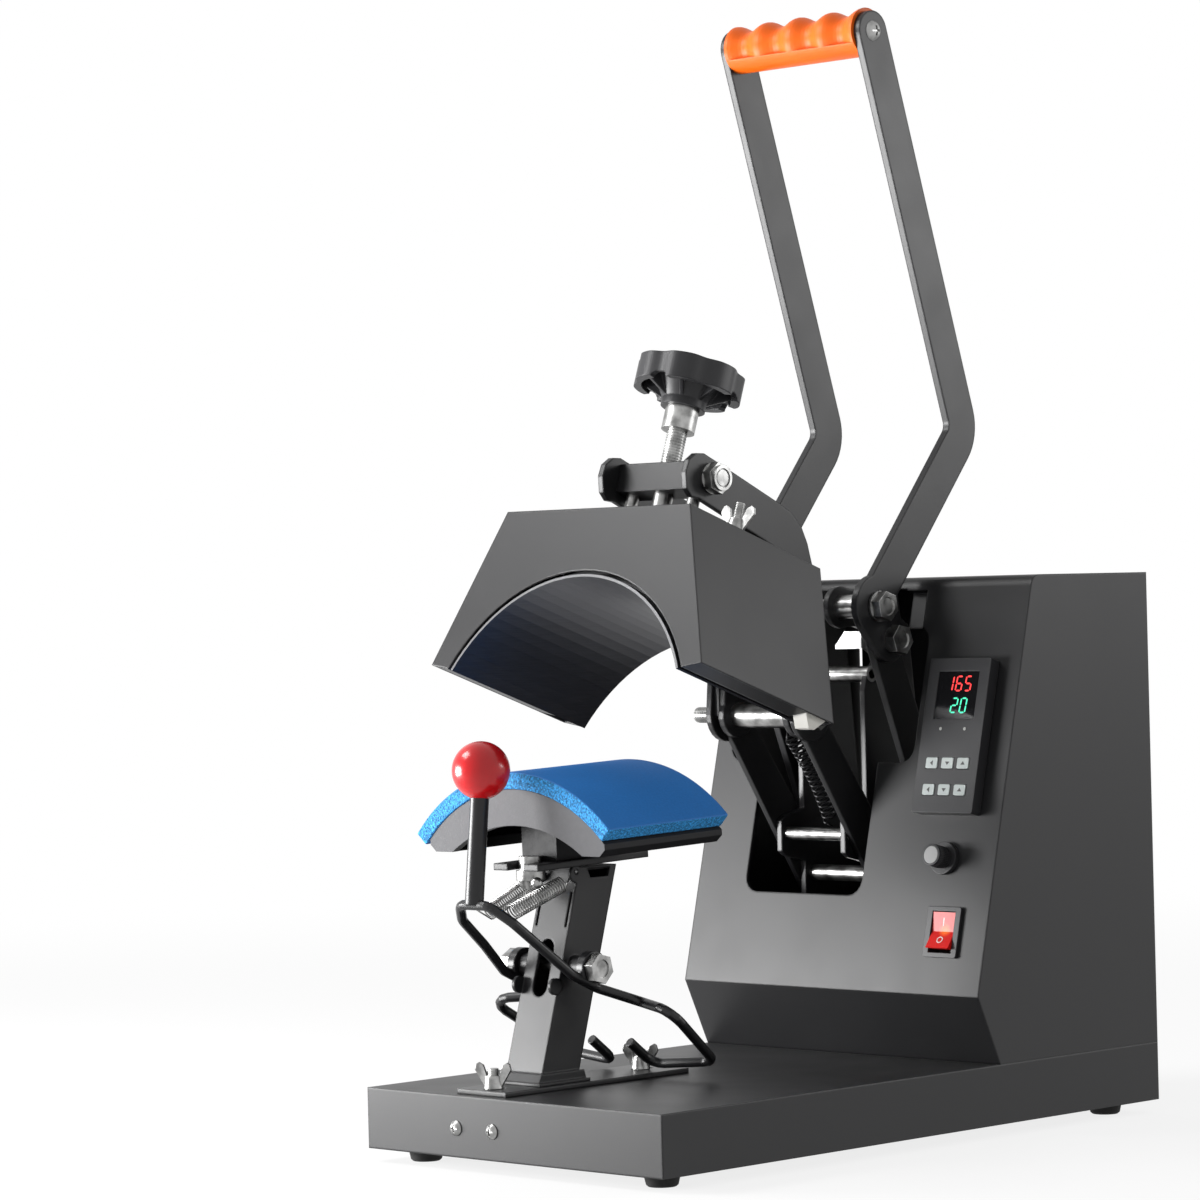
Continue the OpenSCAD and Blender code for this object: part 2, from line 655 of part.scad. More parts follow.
module terminal_block() color([0.9, 0.9, 0.88]) place() translate([52, 120, base_top + sheet / 2]) difference() {
    cube([56, 24, 16]);
    for (k = [0 : 5], y = [6, 18]) translate([5 + k * 9.2, y, 8]) cylinder(d = 4, h = 9, $fn = 20);
}

/* Fixed frame of the linkage */

frame_front_y = 93.5;
frame_top_z = 268;
frame_head_r = 13;
rear_rod_y = 102;
rear_rod_z = 153;
module linkage_frame() color(black) place() each_side() difference() {
    union() {
        yz(frame_in, plate_t) polygon([[frame_front_y, base_top + sheet / 2], [frame_front_y, frame_top_z],
            [frame_front_y + 2.5, frame_top_z + 9], [frame_front_y + 12.5, frame_top_z + 20],
            [frame_front_y + 12.5, handle_z - 17], [handle_y + 12, handle_z - frame_head_r + 1],
            [handle_y, handle_z - frame_head_r + 0.1], [handle_y, handle_z + frame_head_r - 0.1],
            [handle_y + 14, handle_z + frame_head_r - 3], [handle_y + 36, handle_z + 5],
            [arm_pivot_y + 10, handle_z - 12], [arm_pivot_y + 24, arm_pivot_z + 60],
            [arm_pivot_y + 26, base_top + sheet / 2]]);
        rod_x(handle_y, handle_z, 2 * frame_head_r, frame_in, frame_in + plate_t, 60);
        yz(frame_in, plate_t) polygon([[spring_rod_y - 6, spring_rod_z - 11], [spring_rod_y - 2, spring_rod_z - 14],
            [frame_front_y + 2, spring_rod_z - 19], [frame_front_y + 2, spring_rod_z + 16],
            [spring_rod_y - 2, spring_rod_z + 11], [spring_rod_y - 6, spring_rod_z + 8]]);
        translate([4, frame_front_y, base_top + sheet / 2]) cube([frame_in - 4 + plate_t, 59, plate_t]);
    }
    rod_x(handle_y, handle_z, handle_shaft_d, 0, bore_end);
    rod_x(arm_pivot_y, arm_pivot_z, arm_shaft_d, 0, bore_end);
    rod_x(spring_rod_y, spring_rod_z, spring_rod_d, 0, bore_end);
    rod_x(tube_y, tube_z, tube_d, 0, bore_end);
    rod_x(rear_rod_y, rear_rod_z, tube_d, 0, bore_end);
    for (y = [104, 144]) translate([14, y, base_top]) cylinder(d = 6.4, h = 12, $fn = 32);
}

// Upper tube, rear tube and the rod that holds the spring's lower end
module frame_rods() color(zinc) place() {
    end = frame_in + plate_t;
    difference() {
        union() {
            rod_x(tube_y, tube_z, tube_d, mech_x - end, mech_x + end);
            rod_x(rear_rod_y, rear_rod_z, tube_d, mech_x - end, mech_x + end);
        }
        rod_x(tube_y, tube_z, tube_d - 4, mech_x - bore_end, mech_x + bore_end);
        rod_x(rear_rod_y, rear_rod_z, tube_d - 4, mech_x - bore_end, mech_x + bore_end);
    }
    rod_x(spring_rod_y, spring_rod_z, spring_rod_d, mech_x - end, mech_x + end);
}

// Bright folded plate beside the right frame plate
brace_z = 294.3;
module frame_brace() color([0.6, 0.6, 0.61]) place() translate([mech_x, 0, 0]) difference() {
    z = brace_z;
    yz(0.3, frame_in - 0.3) polygon([[99, z], [115, z], [115, z + 2], [101, z + 2], [101, z + 11], [99, z + 11]]);
    xz(96, 8) polygon([[-1, z + 3], [1, z + 3], [9, z + 12], [-1, z + 12]]);
}

module arm_pivot_shaft() color(zinc) place() {
    end = upper_in + plate_gap;
    rod_x(arm_pivot_y, arm_pivot_z, arm_shaft_d, mech_x - end, mech_x + end);
    each_side() {
        hex_x(arm_pivot_y, arm_pivot_z, arm_shaft_d + 6, end, end + 8);
        rod_x(arm_pivot_y, arm_pivot_z, arm_shaft_d + 10, end - 0.1, end + 1.5);
    }
}

// Handle shaft with its heads, washers and the two spacer tubes
module handle_shaft() color(zinc) place() {
    out = handle_out + 2;
    rod_x(handle_y, handle_z, handle_shaft_d, mech_x - out, mech_x + out);
    each_side() {
        rod_x(handle_y, handle_z, 19, out - 1.6, out + 0.1);
        hex_head(handle_y, handle_z, hex_w, out, 6.6, 12);
        difference() {
            rod_x(handle_y, handle_z, handle_shaft_d + 5, frame_in + plate_t, handle_in - 0.3);
            rod_x(handle_y, handle_z, handle_shaft_d, 0, bore_end);
        }
    }
}

/* Handle */

// Cranked flat arm from the shaft to the grip
lobe_shift = 2.7;
lobe_tip_r = 12.6;
// Angle on the lobe's rim where a line from o along d leaves it
function lobe_meet(o, d) = let (p = o + d * (sqrt(pow(o * d, 2) - o * o + lobe_r * lobe_r) - o * d)) atan2(p[1], p[0]);
function handle_pts() = let (a = [handle_y, handle_z],
    b = [crank_y, crank_z] - lobe_shift * [sin(crank_a), cos(crank_a)],
    t = atan2(b[1] - a[1], b[0] - a[0]), k = acos((lobe_r - lobe_tip_r) / norm(b - a)),
    path = rounded([a + [-3.7, 0], [bend_y, bend_z], [grip_y, grip_z]], bend_r, 8), m = len(path),
    strip = strip_pts(path, handle_w), d = path_dir(path, 0), q = atan2(grip_z - bend_z, grip_y - bend_y),
    left = lobe_meet(strip[0] - a, d), right = lobe_meet(strip[2 * m - 1] - a, d))
    concat(corner(a[0], a[1], lobe_r, t + k, right, 3), [for (i = [1 : m - 1]) strip[2 * m - 1 - i]],
        corner(grip_y, grip_z, handle_w / 2, q - 80, q + 80, 14), [for (i = [m - 1 : -1 : 1]) strip[i]],
        corner(a[0], a[1], lobe_r, left, t - k + 360, 24), corner(b[0], b[1], lobe_tip_r, t - k, t + k, 24));

module handle_arm(s) color(black) place() each_side([s]) difference() {
    yz(handle_in, handle_t) polygon(handle_pts());
    rod_x(handle_y, handle_z, handle_shaft_d + 2 * run_clear, 0, bore_end);
    rod_x(crank_y, crank_z, crank_bolt_d, 0, bore_end);
    rod_x(grip_y, grip_z, 8, 0, bore_end);
}
module handle_arm_left() handle_arm(-1);
module handle_arm_right() handle_arm(1);

// Grip turned with four finger scallops along its front, straight behind
grip_waves = 4;
function grip_r(x) = grip_d / 2 - 0.05 - scallop * 0.5 * (1 - cos(360 * x / (2 * handle_in) * grip_waves));
module handle_grip() color("darkorange") place() translate([mech_x, grip_y, grip_z]) difference() {
    n = 48;
    union() {
        rotate([0, 90, 0]) rotate_extrude($fn = 48) polygon(concat([[0, -handle_in]],
            [for (i = [0 : n]) let (x = -handle_in + 2 * handle_in * i / n) [grip_r(x + handle_in), x]],
            [[0, handle_in]]));
        translate([-handle_in, 0, 0]) rotate([0, 90, 0]) intersection() {
            cylinder(d = grip_d, h = 2 * handle_in, $fn = 48);
            rotate([0, 0, 22]) translate([2, -grip_d, -over]) cube([grip_d, 2 * grip_d, 2 * handle_in + 2 * over]);
        }
    }
    rotate([0, 90, 0]) translate([0, 0, -bore_end]) cylinder(d = 8, h = 2 * bore_end, $fn = 32);
}

// Grip screws, and the crank bolts with their washers, spacers and nuts
module handle_bolts() color(zinc) place() each_side() {
    translate([handle_out, grip_y, grip_z]) {
        rotate([0, 90, 0]) pan_head(13, 3.4);
        rotate([0, -90, 0]) cylinder(d = 8, h = 34, $fn = 32);
    }
    rod_x(crank_y, crank_z, crank_bolt_d, link_in - 8, handle_out + 2.2);
    rod_x(crank_y, crank_z, hex_w, handle_out, handle_out + 2.3);
    hex_head(crank_y, crank_z, hex_w, handle_out + 2.2, 6.4, 20);
    rod_x(crank_y, crank_z, crank_bolt_d + 5, link_out + 0.3, handle_in);
    hex_x(crank_y, crank_z, hex_w, link_in - 6.6, link_in - 0.3);
}

module links() color(dark) place() each_side() difference() {
    yz(link_in, handle_t) two_ends([crank_y, crank_z], link_w / 2, [tail_y, tail_z], link_w / 2 - 0.01);
    rod_x(crank_y, crank_z, crank_bolt_d + 2 * run_clear, 0, bore_end);
    rod_x(tail_y, tail_z, tail_d + 2 * tail_clear, 0, bore_end);
}

/* Moving arm */

front_pin_y = -head_y - bar_y * cos(head_tilt) + (bar_lift + bar_h / 2) * sin(head_tilt);
front_pin_z = head_z + bar_y * sin(head_tilt) + (bar_lift + bar_h / 2) * cos(head_tilt);
front_bolt_d = 10;
join_d = 8;
join_up = 59.4;

// Plate from the crossbar, over the shoulder and down to the cross shaft
function upper_pts() = let (f = [front_pin_y, front_pin_z], k = [cross_y, cross_z], r = cross_head_r) concat(
    [f + [-21.9, 4.2], f + [-18.9, 11.2], f + [-12.4, 15.2], f + [-5.9, 15.1], f + [16.6, 5], f + [58.6, -14.3]],
    [k + [-14, 124.4], k + [-5.5, 115.4], k + [-0.5, 105.4], k + [3, 93.4], k + [7, 81.4], k + [10, 63.4]],
    [k + [13.5, 37.4]], corner(k[0], k[1], r, 0, -180, 12),
    [k + [-14, 30], k + [-14, 80], k + [-20, 98], k + [-40, 108], f + [-10.9, -11.8], f + [-17.4, -10.8],
    f + [-21.4, -5.8]]);

module upper_arm(s) color(black) place() each_side([s]) difference() {
    yz(upper_in, plate_t) polygon(upper_pts());
    rod_x(front_pin_y, front_pin_z, front_bolt_d, 0, bore_end);
    rod_x(cross_y, cross_z, cross_d, 0, bore_end);
    rod_x(cross_y - 1, cross_z + join_up, join_d, 0, bore_end);
}
module upper_arm_left() upper_arm(-1);
module upper_arm_right() upper_arm(1);

// Plate from the cross shaft down to the arm pivot and back to the tail pin
pivot_head_r = 18;
tail_head_r = 10;
module lever_plate(s) color(black) place() each_side([s]) difference() {
    q = atan2(tail_z - arm_pivot_z, tail_y - arm_pivot_y);
    yz(lever_in, plate_t) polygon(concat([[cross_y - 12.5, cross_z + 69], [cross_y - 13, cross_z]],
        [[cross_y, cross_z - 17.5]], [[arm_pivot_y - 18, arm_pivot_z + 7.4]],
        corner(arm_pivot_y, arm_pivot_z, pivot_head_r, 200, 262, 6),
        corner(tail_y, tail_z, tail_head_r, q + 270, q + 450, 12),
        corner(arm_pivot_y, arm_pivot_z, pivot_head_r, 20, 40, 3),
        [[cross_y + 12, cross_z + 3.4], [cross_y + 10, cross_z + 69]]));
    rod_x(cross_y, cross_z, cross_d, 0, bore_end);
    rod_x(cross_y - 1, cross_z + join_up, join_d, 0, bore_end);
    rod_x(arm_pivot_y, arm_pivot_z, arm_shaft_d + 2 * run_clear, 0, bore_end);
    rod_x(tail_y, tail_z, tail_d, 0, bore_end);
}
module lever_plate_left() lever_plate(-1);
module lever_plate_right() lever_plate(1);

bar_screw_d = 6;
module crossbar() color(dark) place() in_head() difference() {
    translate([-upper_in, -bar_y - bar_d / 2, bar_lift]) cube([2 * upper_in, bar_d, bar_h]);
    translate([0, -bar_y, 0]) cylinder(d = screw_d + 2 * run_clear, h = 80, $fn = 48);
    for (s = [1, -1]) translate([s * pin_x, -bar_y, 0]) cylinder(d = pin_d + 2 * run_clear, h = 80, $fn = 40);
    for (s = [1, -1]) translate([0, -bar_y, bar_lift + bar_h / 2]) rotate([0, 90 * s, 0])
        translate([0, 0, pin_x + pin_d / 2 + 0.6]) cylinder(d = bar_screw_d, h = 20, $fn = 32);
}

// Bolts of the crossbar, and the pins at the arm's tail
module arm_bolts() color(zinc) place() each_side() {
    rod_x(front_pin_y, front_pin_z, bar_screw_d, pin_x + pin_d / 2 + 0.8, upper_in + 0.1);
    rod_x(front_pin_y, front_pin_z, front_bolt_d, upper_in, upper_out + 9.5);
    rod_x(front_pin_y, front_pin_z, 19, upper_out, upper_out + 1.6);
    hex_x(front_pin_y, front_pin_z, 17, upper_out + 1.6, upper_out + 7.6, 8);
    difference() {
        rod_x(front_pin_y, front_pin_z, 15.6, upper_out + 7.5, upper_out + 10);
        rod_x(front_pin_y, front_pin_z, 11.5, upper_out + 9, upper_out + 12);
    }
    rod_x(tail_y, tail_z, tail_d, lever_in - 2, link_out + 3);
    rod_x(tail_y, tail_z, tail_d + 6, upper_in, link_in - 0.5);
    rod_x(tail_y, tail_z, tail_d + 12, link_out + 0.5, link_out + 2.5);
    rod_x(tail_y, tail_z, tail_d + 4, lever_in - 2, lever_in);
}

// Cross shaft with its sleeve, nuts and the bolts that join the arm's plates
module cross_shaft() color(zinc) place() {
    rod_x(cross_y, cross_z, cross_d, mech_x - cross_stud, mech_x + upper_out + 10);
    difference() {
        rod_x(cross_y, cross_z, cross_d + 6.5, mech_x - frame_in, mech_x + frame_in);
        rod_x(cross_y, cross_z, cross_d, mech_x - bore_end, mech_x + bore_end);
    }
    each_side() {
        hex_x(cross_y, cross_z, 16, upper_out, upper_out + 7);
        rod_x(cross_y - 1, cross_z + join_up, join_d, lever_in - 1, upper_out + 3);
        hex_x(cross_y - 1, cross_z + join_up, 12, upper_out, upper_out + 5);
        hex_x(cross_y - 1, cross_z + join_up, 12, lever_in - 5, lever_in);
    }
}

module shaft_yoke() color(dark) place() difference() {
    k = [cross_y, cross_z];
    union() {
        each_side() yz(frame_in, lever_in - frame_in) polygon(concat([k + [-10, 43.4], k + [-12.5, 7.4]],
            corner(k[0], k[1], 14, 150, 340, 10), [k + [11, 43.4]]));
        yz(mech_x - frame_in - eps, 2 * (frame_in + eps)) polygon([k + [7, 13.4], k + [11, 13.4],
            k + [11, 43.4], k + [7, 43.4]]);
    }
    rod_x(cross_y, cross_z, cross_d, mech_x - bore_end, mech_x + bore_end);
}

// Curls of a spring along a line from a to b, sagging sideways by sag at the middle
ring_count = 8;
function curls(a, b, d, n, sag) = let (ax = unit(b - a), u = unit(cross(ax, [1, 0, 0])), w = cross(u, ax))
    [for (i = [0 : ring_count * n]) let (t = i / (ring_count * n), q = 360 * i / ring_count)
        a + (b - a) * t + sag * sin(180 * t) * u + d / 2 * (cos(q) * u + sin(q) * w)];
function least_gap(p, wire) = min([for (i = [0 : len(p) - 1 - ring_count]) norm(p[i + ring_count] - p[i])]) - wire;

// Wound spring with a straight tail from the hook point h0 to a, and from b to h1
module spring_body(h0, a, b, h1, d, wire, n, sag = 0) {
    mid = curls(a, b, d - wire, n, sag);
    echo(str("least gap between curls: ", least_gap(mid, wire)));
    tube(concat([h0], mid, [h1]), wire, 6);
}

return_wire = 1.6;
return_x = mech_x + 13;
return_top = [return_x, cross_y + 4.9, cross_z - 10.6];
return_low = [return_x, spring_rod_y - 0.3, spring_rod_z + 7.7];
module return_spring() color([0.08, 0.08, 0.08]) place()
    spring_body([return_x, cross_y + 4, cross_z - 9.2], return_top + [0, 1.6, -2.6], return_low + [0, -1, 2],
        [return_x, spring_rod_y, spring_rod_z + spring_rod_d / 2 + 1.1], back_spring_d, return_wire, back_spring_n, -3);

/* Heater head */

side_t = 1.07 * cover_t;
flange_x = 97.8;
flange_z = -100.1;
tab_y = 37;
// Half the width of the cover's outside at height z below its top
function head_side(z) = (head_top_w - (head_low_w - head_top_w) * z / head_h) / 2;
// Outline of the head cover, shrunk by g, cut out below along the arch
function cover_pts(g) = let (a = asin(flange_x / cover_r))
    concat([[-head_top_w / 2 + g, -g], [head_top_w / 2 - g, -g], [head_low_w / 2 - g, -head_h]],
        moved(reversed(arc_pts(cover_r, -a, a, 24)), arch_z), [[-head_low_w / 2 + g, -head_h]]);

module heater_cover() color(dark) place() in_head() {
    difference() {
        xz(-head_d / 2, head_d) polygon(cover_pts(0));
        top = head_side(-cover_t) - side_t;
        open = head_side(-head_h - 10) - side_t;
        xz(-head_d / 2 + cover_t, head_d - 2 * cover_t) polygon([[-top, -cover_t], [top, -cover_t],
            [open, -head_h - 10], [-open, -head_h - 10]]);
        translate([0, -bar_y, -5]) cylinder(d = screw_d + 1, h = 10, $fn = 40);
        for (s = [1, -1]) translate([s * pin_x, -bar_y, -5]) cylinder(d = pin_d, h = 10, $fn = 40);
        translate([head_nut_x, head_nut_y, -5]) cylinder(d = stud_d, h = 10, $fn = 32);
    }
    low = head_side(-head_h) - side_t;
    for (m = [0, 1]) mirror([m, 0, 0]) xz(-head_d / 2 + cover_t - eps, head_d / 2 - cover_t + tab_y - 0.5)
        polygon([[low + eps, -head_h + 1.6], [low + eps, -head_h - 0.1], [flange_x, flange_z], [flange_x, flange_z + 1.6]]);
}

// Curved plate with a thin lip at its front and its rear
lip_y = 48;
module heater_plate() color([0.16, 0.16, 0.17]) place() in_head() {
    arch_slab(press_r, press_r + lip_t, plate_a, -head_d / 2, head_d);
    arch_slab(press_r + lip_t - eps, press_r + heat_plate_t, slab_a, -lip_y, 2 * lip_y);
}

// Heating element on the plate's back, and the insulation at the right end
element_y = 34;
module heating_element() color([0.75, 0.74, 0.7]) place() in_head() {
    difference() {
        arch_slab(press_r + heat_plate_t + 0.05, press_r + heat_plate_t + 0.05 + element_t, slab_a - 8,
            -element_y, 2 * element_y);
        translate([head_nut_x, head_nut_y, -60]) cylinder(d = stud_d + 2, h = 20, $fn = 32);
    }
    yz(99, head_side(-94) - side_t - 99.3)
        polygon([[tab_y, -96.3], [58.5 - cover_t, -95.7], [47.3, -105.1], [42.8, -105.7]]);
}

// Two guide pins and the stud of the head's wing nut
module guide_pins() color(zinc) place() in_head() {
    for (s = [1, -1]) translate([s * pin_x, -bar_y, -12]) cylinder(d = pin_d, h = 10 + bar_lift + bar_h, $fn = 40);
    stud_low = arch_z + sqrt(pow(press_r + heat_plate_t, 2) - pow(head_nut_x - stud_d / 2, 2)) + 0.1;
    translate([head_nut_x, head_nut_y, stud_low]) cylinder(d = stud_d, h = 19 - stud_low, $fn = 32);
}

// Block under the cover that the screw turns in, on four legs
leg_x = 30;
module thrust_block() color(dark) place() in_head() difference() {
    leg_z = arch_z + sqrt(pow(press_r + heat_plate_t, 2) - pow(leg_x - 4, 2)) + 0.05;
    union() {
        translate([-pin_x - 10, -bar_y - 14, -cover_t - 12]) cube([2 * pin_x + 20, 28, 12]);
        translate([-pin_x - 10, -element_y - 12, -cover_t - 12]) cube([2 * pin_x + 20, 2 * element_y + 24, 4]);
        for (x = [-leg_x, leg_x], y = [-element_y - 7, element_y + 7]) translate([x, y, leg_z])
            cylinder(d = 8, h = -cover_t - 12 + eps - leg_z, $fn = 32);
    }
    translate([0, -bar_y, -20]) cylinder(d = screw_d + 2 * run_clear, h = 30, $fn = 40);
    for (s = [1, -1]) translate([s * pin_x, -bar_y, -14]) cylinder(d = pin_d, h = 30, $fn = 40);
}

module pressure_screw() color(zinc) place() in_head() translate([0, -bar_y, 0]) {
    top = bar_lift + bar_h + screw_bare;
    low = -cover_t - 11.5;
    translate([0, 0, low]) cylinder(d = screw_d, h = top + collar_h + 8 - low, $fn = 48);
    translate([0, 0, top]) cylinder(d = collar_d, h = collar_h, $fn = 48);
}

// Knob with a hub, a flared spider with ribs and a lobed rim that is open below
hub_d = 27.5;
hub_h = 10;
rim_t = 3;
module pressure_knob() color([0.1, 0.1, 0.1]) place() in_head()
    translate([0, -bar_y, bar_lift + bar_h + screw_bare + collar_h]) rotate([0, 0, -3.4]) {
        n = 18 * knob_lobes;
        r = knob_d / 2;
        top = hub_h + knob_rim_h;
        difference() {
            union() {
                translate([0, 0, hub_h]) linear_extrude(knob_rim_h) polygon([for (i = [0 : n - 1])
                    let (q = 360 * i / n, k = r - 2.6 * pow((1 - cos(knob_lobes * q)) / 2, 2)) [k * cos(q), k * sin(q)]]);
                translate([0, 0, top - eps]) cylinder(d1 = knob_d - 9, d2 = knob_d - 20, h = 2.2, $fn = 60);
            }
            translate([0, 0, hub_h - over]) cylinder(r = r - 2.6 - rim_t, h = knob_rim_h - rim_t, $fn = 60);
            translate([0, 0, top - 1.2]) cylinder(d = hub_d, h = 6, $fn = 48);
            for (k = [0 : knob_lobes - 1]) rotate([0, 0, 360 * (k + 0.5) / knob_lobes])
                yz(0, knob_d) polygon([[-6.5, hub_h - 4], [6.5, hub_h - 4], [5.2, hub_h + 1.5], [2.4, hub_h + 3.4],
                    [-2.4, hub_h + 3.4], [-5.2, hub_h + 1.5]]);
        }
        difference() {
            union() {
                cylinder(d = hub_d, h = top - 2, $fn = 48);
                translate([0, 0, 5]) cylinder(d1 = hub_d, d2 = hub_d + 14, h = hub_h + 2, $fn = 48);
                for (k = [0 : knob_lobes - 1]) rotate([0, 0, 360 * k / knob_lobes]) translate([0, 1.2, 0])
                    rotate([90, 0, 0]) linear_extrude(2.4) polygon([[hub_d / 2 - 2, 4], [r - 4, hub_h + 3],
                        [r - 4, top - 1], [hub_d / 2 - 2, top - 1]]);
            }
            translate([0, 0, -over]) cylinder(d = screw_d, h = 9 + over, $fn = 40);
        }
    }

module head_wing_nut() color(zinc) place() in_head() translate([head_nut_x, head_nut_y, 0.3])
    rotate([0, 0, 10]) wing_nut(stud_d, 23.5, 17.2);

/* Platen and its post */

module slide_plate() color(dark) place() difference() {
    translate([mech_x - slide_w / 2, slide_y0, base_top + 0.1]) cube([slide_w, slide_l, slide_t]);
    w = stud_d + 3 * fit;
    for (y = [stud_front_y, stud_rear_y]) translate([mech_x, y, base_top - over]) {
        translate([-w / 2, -slide_back, 0]) cube([w, slide_fwd + slide_back, slide_t + 3]);
        for (e = [-slide_back, slide_fwd]) translate([0, e, 0]) cylinder(d = w, h = slide_t + 3, $fn = 32);
    }
}

// Side profile of the leaning post between two heights, shrunk by g
function post_mid(z) = -post_y + (z - base_top - slide_t) * tan(post_lean);
function post_pts(z0, z1, g) = let (d = post_d / 2 - g / cos(post_lean)) [[post_mid(z0) - d, z0],
    [post_mid(z0) + d, z0], [post_mid(z1) + d, z1], [post_mid(z1) - d, z1]];
ear_y = -150;
ear_z = 168.5;
module support_post() color(black) place() difference() {
    union() {
        translate([mech_x, 0, 0]) {
            yz(-post_w / 2, post_w) polygon(post_pts(post_base + 1, carry_z + 0.5, 0));
            yz(-post_w / 2 - 2, post_w + 4) polygon([[-post_y - post_d / 2 - 3, post_base + 1],
                [-post_y + post_d / 2 + 6, post_base + 1], [-post_y + post_d / 2 + 4, post_base + 7],
                [-post_y - post_d / 2, post_base + 7]]);
        }
        translate([mech_x - post_w / 2 - 4, -post_y - post_d / 2 - 4, post_base]) cube([post_w + 8, post_d + 11, 2]);
        translate([mech_x - carry_w / 2, -plat_y - 48, carry_z]) rotate([plat_tilt, 0, 0]) cube([carry_w, carry_l, carry_t]);
        each_side() {
            rod_x(-lever_y, lever_z, lever_bolt_d + 6, post_w / 2 - 1, lever_x - 6.6);
            rod_x(-post_y - 1, 104, 10, post_w / 2 - 1, post_w / 2 + 1.2);
            rod_x(ear_y, ear_z, 10, post_w / 2 - post_t, post_w / 2);
            yz(post_w / 2 - post_t, post_t) polygon([[ear_y - 4.6, ear_z - 2], [ear_y + 10, ear_z - 14],
                [ear_y + 10, carry_z + 0.3], [ear_y, carry_z + 0.3]]);
        }
    }
    yz(mech_x - post_w / 2 + post_t, post_w - 2 * post_t) polygon(post_pts(base_top - 3, carry_z - 2, post_t));
    for (e = [-10.5, 10.5]) translate([mech_x, -post_y - 20, 114 + e]) rotate([-90, 0, 0]) cylinder(d = 12, h = 40, $fn = 32);
    translate([mech_x - 6, -post_y - 20, 103.5]) cube([12, 40, 21]);
    yz(mech_x + post_w / 2 - post_t - 1, post_t + 2) polygon([[-138.5, 165.8], [-124, 165.8], [-122, 171.2], [-141, 171.2]]);
    each_side() yz(post_w / 2 - post_t - 1.6, 1.6) polygon([[post_mid(138) - 20, 138], [post_mid(138) - 8, 138],
        [post_mid(158) - 8, 158], [post_mid(158) - 20, 158]]);
    rod_x(-lever_y, lever_z, lever_bolt_d, mech_x - bore_end, mech_x + bore_end);
    rod_x(ear_y, ear_z + 1.2, 3, mech_x - bore_end, mech_x + bore_end, 24);
    translate([mech_x, lock_y, carry_z - 4]) cylinder(d = fork_w, h = 20, $fn = 40);
    translate([mech_x - fork_w / 2, lock_y - 20, carry_z - 4]) cube([fork_w, 20, 20]);
}

// Moulded arch with chamfered feet, ribs and a hub that stands on the flat bar
seat_z = (carry_z + carry_t + 48 * tan(plat_tilt) - plat_z) * cos(plat_tilt) + 0.05;
module platen_base() color([0.14, 0.14, 0.15]) place() in_platen() {
    r1 = foam_r - foam_t;
    a = asin(mould_x / r1);
    w = mould_gap;
    h = mould_low - mould_drop;
    rin = (w * w + h * h) / (2 * h);
    b = asin(w / rin);
    y0 = -plat_d / 2 + 1;
    long = plat_d - 2;
    outer = moved(arc_pts(r1, -a, a, 24), -foam_r);
    inner = moved(arc_pts(rin, b, -b, 24), -mould_drop - rin);
    feet = [[mould_x, -mould_low + 4], [mould_x - 4.5, -mould_low]];
    face = concat(outer, feet, inner, [[-mould_x + 4.5, -mould_low], [-mould_x, -mould_low + 4]]);
    skin = moved(arc_pts(r1 - 5, a - 1, -a + 1, 24), -foam_r);
    xz(y0, 5) polygon(face);
    xz(y0 + long - 5, 5) polygon(face);
    xz(y0, long) polygon(concat(outer, [[mould_x, -mould_low + 4]], skin, [[-mould_x, -mould_low + 4]]));
    for (m = [0, 1]) mirror([m, 0, 0]) {
        xz(y0, long) polygon([[mould_x, -mould_low + 4], [mould_x - 4.5, -mould_low], [w + 1, -mould_low],
            [w + 3, -mould_low + 6], [mould_x - 3, -mould_low + 8]]);
        for (x = [30, 46]) translate([x - 1.5, y0 + over, sqrt(r1 * r1 - x * x) - foam_r - 13])
            cube([3, long - 2 * over, 9.5]);
        translate([9.5, -30, seat_z]) cube([5, 60, -seat_z - foam_t - 3]);
    }
    for (y = [-30, 26]) translate([-14.5, y, seat_z]) cube([29, 4, -seat_z - foam_t - 3]);
}

module platen_foam() color([0.1, 0.35, 0.75]) place() in_platen() {
    a0 = -foam_a - foam_off;
    a1 = foam_a - foam_off;
    xz(-plat_d / 2, plat_d) polygon(concat(moved(arc_pts(foam_r, a0, a1, 32), -foam_r),
        moved(arc_pts(foam_r - foam_t + 0.06, a1, a0, 32), -foam_r)));
}

module platen_lock() color(zinc) place() translate([mech_x, lock_y, carry_z]) {
    translate([0, 0, -11]) cylinder(d1 = 11, d2 = 15, h = 5, $fn = 40);
    translate([0, 0, -6.1]) cylinder(d = 17, h = 6, $fn = 40);
    translate([0, 0, -1]) cylinder(d = fork_w - 0.6, h = 9, $fn = 40);
    rotate([0, 0, -30]) translate([0, 0, -7]) {
        rotate([0, 90, 0]) cylinder(d = 3, h = 13, $fn = 24);
        translate([14, 0, 0]) sphere(d = 7, $fn = 32);
    }
}

module lever_pivot() color(zinc) place() {
    rod_x(-lever_y, lever_z, lever_bolt_d, mech_x - lever_x - 1, mech_x + lever_x + 1);
    translate([mech_x, 0, 0]) hex_head(-lever_y, lever_z, 16, lever_x, 6, 15);
    hex_x(-lever_y, lever_z, 16, mech_x - lever_x - 7, mech_x - lever_x, 0);
}

module wing_nut_at(y) place() translate([mech_x, y, base_top + slide_t + 0.4]) rotate([0, 0, 20]) wing_nut(stud_d, 23, 15);
module wing_nut_front() color(zinc) wing_nut_at(stud_front_y);
module wing_nut_rear() color(zinc) wing_nut_at(stud_rear_y);

/* Cap lever */

wire_x = lever_x - 0.3 - wire_d / 2;
